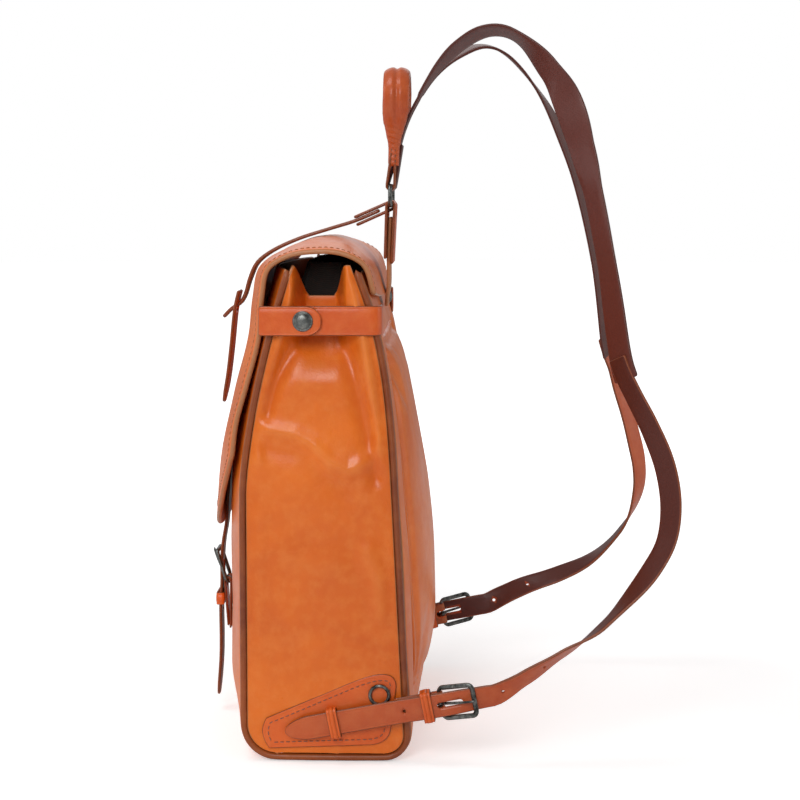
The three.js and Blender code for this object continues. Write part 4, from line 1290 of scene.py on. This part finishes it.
LOOP_MIDDLE = vec(60, 130, 300)
UPPER_POINTS = {
    "right": [(16, 84, 521), (21, 102, 539), (28, 122, 549), (35, 142, 546), (50, 177, 507), (65, 197, 448),
              (82, 212, 372), (98, 222.5, 297), (101, 226, 284)],
    "left": [(16, 82, 518), (21, 99, 533), (28, 119, 542), (35, 138, 537), (50, 169, 503), (65, 196, 448),
             (82, 217, 372), (98, 229, 297), (101, 232, 284)]}
LOWER_POINTS = {
    "right": [(97.2, 219.3, 300), (99.6, 223.8, 288), (103.5, 231.5, 272), (110, 243, 249), (117, 253.6, 221),
              (122, 257.5, 193), (126, 254, 167.5), (129, 243, 147), (132, 224.6, 124), (134.5, 203, 102),
              (136.6, 174, 83), (138.2, 148, 66.3)],
    "left": [(97.2, 225.6, 300), (99.6, 229.8, 288), (103, 235, 276), (108, 240.5, 258), (114, 248, 236),
             (119, 255, 211), (124, 261, 185), (127.5, 261.5, 163), (130, 253.7, 137), (132.5, 237, 113),
             (134.5, 218, 96), (136, 191.5, 83), (137.5, 160.5, 71.5), (138.8, 140, 61.5)]}
# Degrees a strap's face turns from outward round the loop towards the side, by share of its length.
UPPER_TURN = {
    "right": ((0, 0), (0.15, -10), (0.27, -20), (0.37, -38), (0.46, -62), (0.55, -42), (0.64, -30),
              (0.75, -31), (0.89, -38), (1, -38)),
    "left": ((0, 0), (0.3, -14), (0.5, -24), (1, -26))}
LOWER_TURN = {
    "right": ((0, -38), (0.12, -30), (0.32, -43), (0.5, -36), (0.68, 0), (0.8, 28), (0.9, 46), (1.0, 78),
              (1.08, 90)),
    "left": ((0, -26), (0.43, -27), (0.57, 0), (0.8, 38), (0.9, 52), (1.0, 78), (1.08, 90))}


def scheduled(table, share):
    """Value at a share from (share, value) pairs, eased between them."""
    for (low, a), (high, b) in zip(table, table[1:]):
        if share <= high:
            return lerp(a, b, smooth(share, low, high))
    return table[-1][1]


def loop_facing(point, degrees):
    """Facing of a strap at a point of its loop, turned from outward towards +X."""
    outward = point - LOOP_MIDDLE
    outward.x = 0
    angle = math.radians(degrees)
    return outward.normalized() * math.cos(angle) + vec(math.sin(angle), 0, 0)


def find_on(route, test):
    """Distance along a route, from its end, of the first point that passes a test."""
    s = route.length
    while s > 0 and not test(route.at(s)):
        s -= 0.25
    return s


def make_upper_straps():
    fold = fold_points((8.1, RING_Y, RING_TOP_Z), (0, 1, 0), (0, 0, 1), 3.1, (5.8, 29), (8.6, 33))
    root = list(reversed(fold)) + [vec(9.2, 57.6, 474), vec(11.4, 64.6, 490.5)]
    for side, sign in SIDES:
        route = Route(root + [Vector(p) for p in UPPER_POINTS[side]])
        root_length = find_on(route, lambda p: p.y < 66)
        share_at = lambda t: (t * route.length - root_length) / (route.length - root_length)

        def facing(t, tangent):
            if share_at(t) <= 0.02:
                return vec(1, 0, 0).cross(tangent)
            return loop_facing(route.at(t * route.length), scheduled(UPPER_TURN[side], share_at(t)))

        strap = band(route, facing, lambda t: lerp(14, 24, smooth(share_at(t), 0, 0.16)), 2.1, crown=0.2)
        piece = make_piece(f"upper_strap_{side}", strap, "dark_strap_leather", flip=sign < 0)
        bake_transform(piece)
        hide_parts(f"strap_root_{side}", f"shoulder_strap_upper_{side}")


def make_lower_straps():
    tail = [(41, 0, 4.8), (33.8, 0, 4.8), (31, 0, 4.8), (16, 0, 5), (0, 0, 5), (-12, 0, 4.4), (-28, 0, 2.4),
            (-46, 0, 1.3), (-80, 0, -0.1), (-118, 0, -1.6)]
    for side, sign in SIDES:
        route = Route([Vector(p) for p in LOWER_POINTS[side]] + [SIDE_FRAME @ Vector(p) for p in tail])
        lower_length = find_on(route, lambda p: p.y > 120)

        def facing(t, tangent):
            return loop_facing(route.at(t * route.length),
                               scheduled(LOWER_TURN[side], t * route.length / lower_length))

        strap = band(route, facing, lambda t: 18 - 6 * smooth(t, 0.96, 1), 2.2, ends=("square", "point"))
        piece = make_piece(f"lower_strap_{side}", strap, "strap_leather", flip=sign < 0)
        tools = [prong_slot(SIDE_FRAME, SIDE_ALONG)]
        for y in (164, 134, 61):
            s = find_on(route, lambda p, y=y: p.y > y)
            through = facing(s / route.length, route.tangent(s))
            tools.append(rod(route.at(s) - through * 6, route.at(s) + through * 6, 1.35))
        punch(piece, [on_side(tool, sign) for tool in tools])
        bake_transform(piece)
        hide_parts(f"strap_tail_{side}", f"shoulder_strap_lower_{side}")


# ---------------------------------------------------------------- studio

ROOM_LIGHT = 0.30


# Each lamp's name, place, target, size and power.
LAMPS = (
    ("key", (0.25, -0.55, 1.75), (0.1, 0, 0.2), (0.6, 0.6), 6),
    ("side_box", (1.75, -0.35, 1.15), (0.1, 0, 0.2), (0.7, 0.9), 15.5),
    ("front_box", (-0.1, -1.7, 0.8), (0, 0, 0.25), (1.1, 1.6), 7),
    ("back_box", (-0.1, 1.9, 0.9), (0, 0, 0.25), (1.1, 1.6), 9),
    ("left_box", (-1.8, 0, 1.1), (0, 0, 0.25), (1.2, 1.2), 3.5),
)


def area_light(name, place, target, size, power):
    data = bpy.data.lights.new(name, "AREA")
    data.shape = "RECTANGLE"
    data.size, data.size_y = size
    data.energy = power
    lamp = bpy.data.objects.new(name, data)
    lamp.location = place
    lamp.rotation_euler = (Vector(target) - Vector(place)).to_track_quat("-Z", "Y").to_euler()
    bpy.context.scene.collection.objects.link(lamp)


def make_studio():
    scene = bpy.context.scene
    scene.view_settings.view_transform = "Standard"
    data = bpy.data.cameras.new("camera")
    data.lens, data.sensor_width, data.shift_y = 76.3, 36, -0.1
    camera = bpy.data.objects.new("camera", data)
    camera.location = (1.3642, 0.0948, 0.4241)
    camera.rotation_euler = vec(-0.9967, -0.0299, -0.0754).to_track_quat("-Z", "Y").to_euler()
    scene.collection.objects.link(camera)
    scene.camera = camera

    world = bpy.data.worlds.new("studio_white")
    world.use_nodes = True
    tree = world.node_tree
    background = tree.nodes["Background"]
    background.inputs["Color"].default_value = (1, 1, 1, 1)
    seen = node(tree, "ShaderNodeLightPath").outputs["Is Camera Ray"]
    tree.links.new(spread(tree, seen, 0, 1, ROOM_LIGHT, 1.0), background.inputs["Strength"])
    scene.world = world
    for lamp in LAMPS:
        area_light(*lamp)


FLOOR_Z = -0.2


def make_floor():
    """Round pale floor, flat and large enough to fill every view."""
    shape = Shape()
    rings = [shape.ring([(x, y, FLOOR_Z) for x, y in circle(radius, 96)])
             for radius in (9000, 4000, 1500, 600, 200, 40)]
    for a, b in zip(rings, rings[1:]):
        shape.bridge(a, b)
    shape.cap(rings[-1])
    material, tree, bsdf, place = start_material("studio_floor")
    tint = spread(tree, noise_value(tree, place, 3.0), 0.3, 0.7, 0, 1)
    tree.links.new(blend_colour(tree, tint, (0.86, 0.86, 0.865), (0.9, 0.9, 0.9)), bsdf.inputs["Base Color"])
    bsdf.inputs["Roughness"].default_value = 0.6
    bsdf.inputs["Emission Color"].default_value = (1, 1, 1, 1)
    away = node(tree, "ShaderNodeVectorMath", {0: place}, operation="LENGTH").outputs["Value"]
    glow = spread(tree, away, 0.4, 1.3, 0.42, 0.96)
    seen = node(tree, "ShaderNodeLightPath").outputs["Is Camera Ray"]
    tree.links.new(maths(tree, "MULTIPLY", glow, seen), bsdf.inputs["Emission Strength"])
    mesh = bpy.data.meshes.new("floor")
    mesh.from_pydata([tuple(p * MM) for p in shape.points], [], shape.faces)
    floor = bpy.data.objects.new("floor", mesh)
    bpy.context.scene.collection.objects.link(floor)
    mesh.materials.append(material)


def finish_frame_nodes():
    """Gives every node of the frame the finish its slot names."""
    for part in frame["record"]["subparts"]:
        target = frame["nodes"][part["node"]]
        for slot in target.material_slots:
            slot.material = MATERIALS[part["material_slot"]]


make_studio()
make_floor()
finish_frame_nodes()
make_panels()
make_gussets()
make_piping()
make_lining()
make_back_pad()
make_flap()
make_closure()
make_side_straps()
make_lower_anchors()
make_ring()
make_hanger()
make_lash()
make_handle()
make_upper_straps()
make_lower_straps()
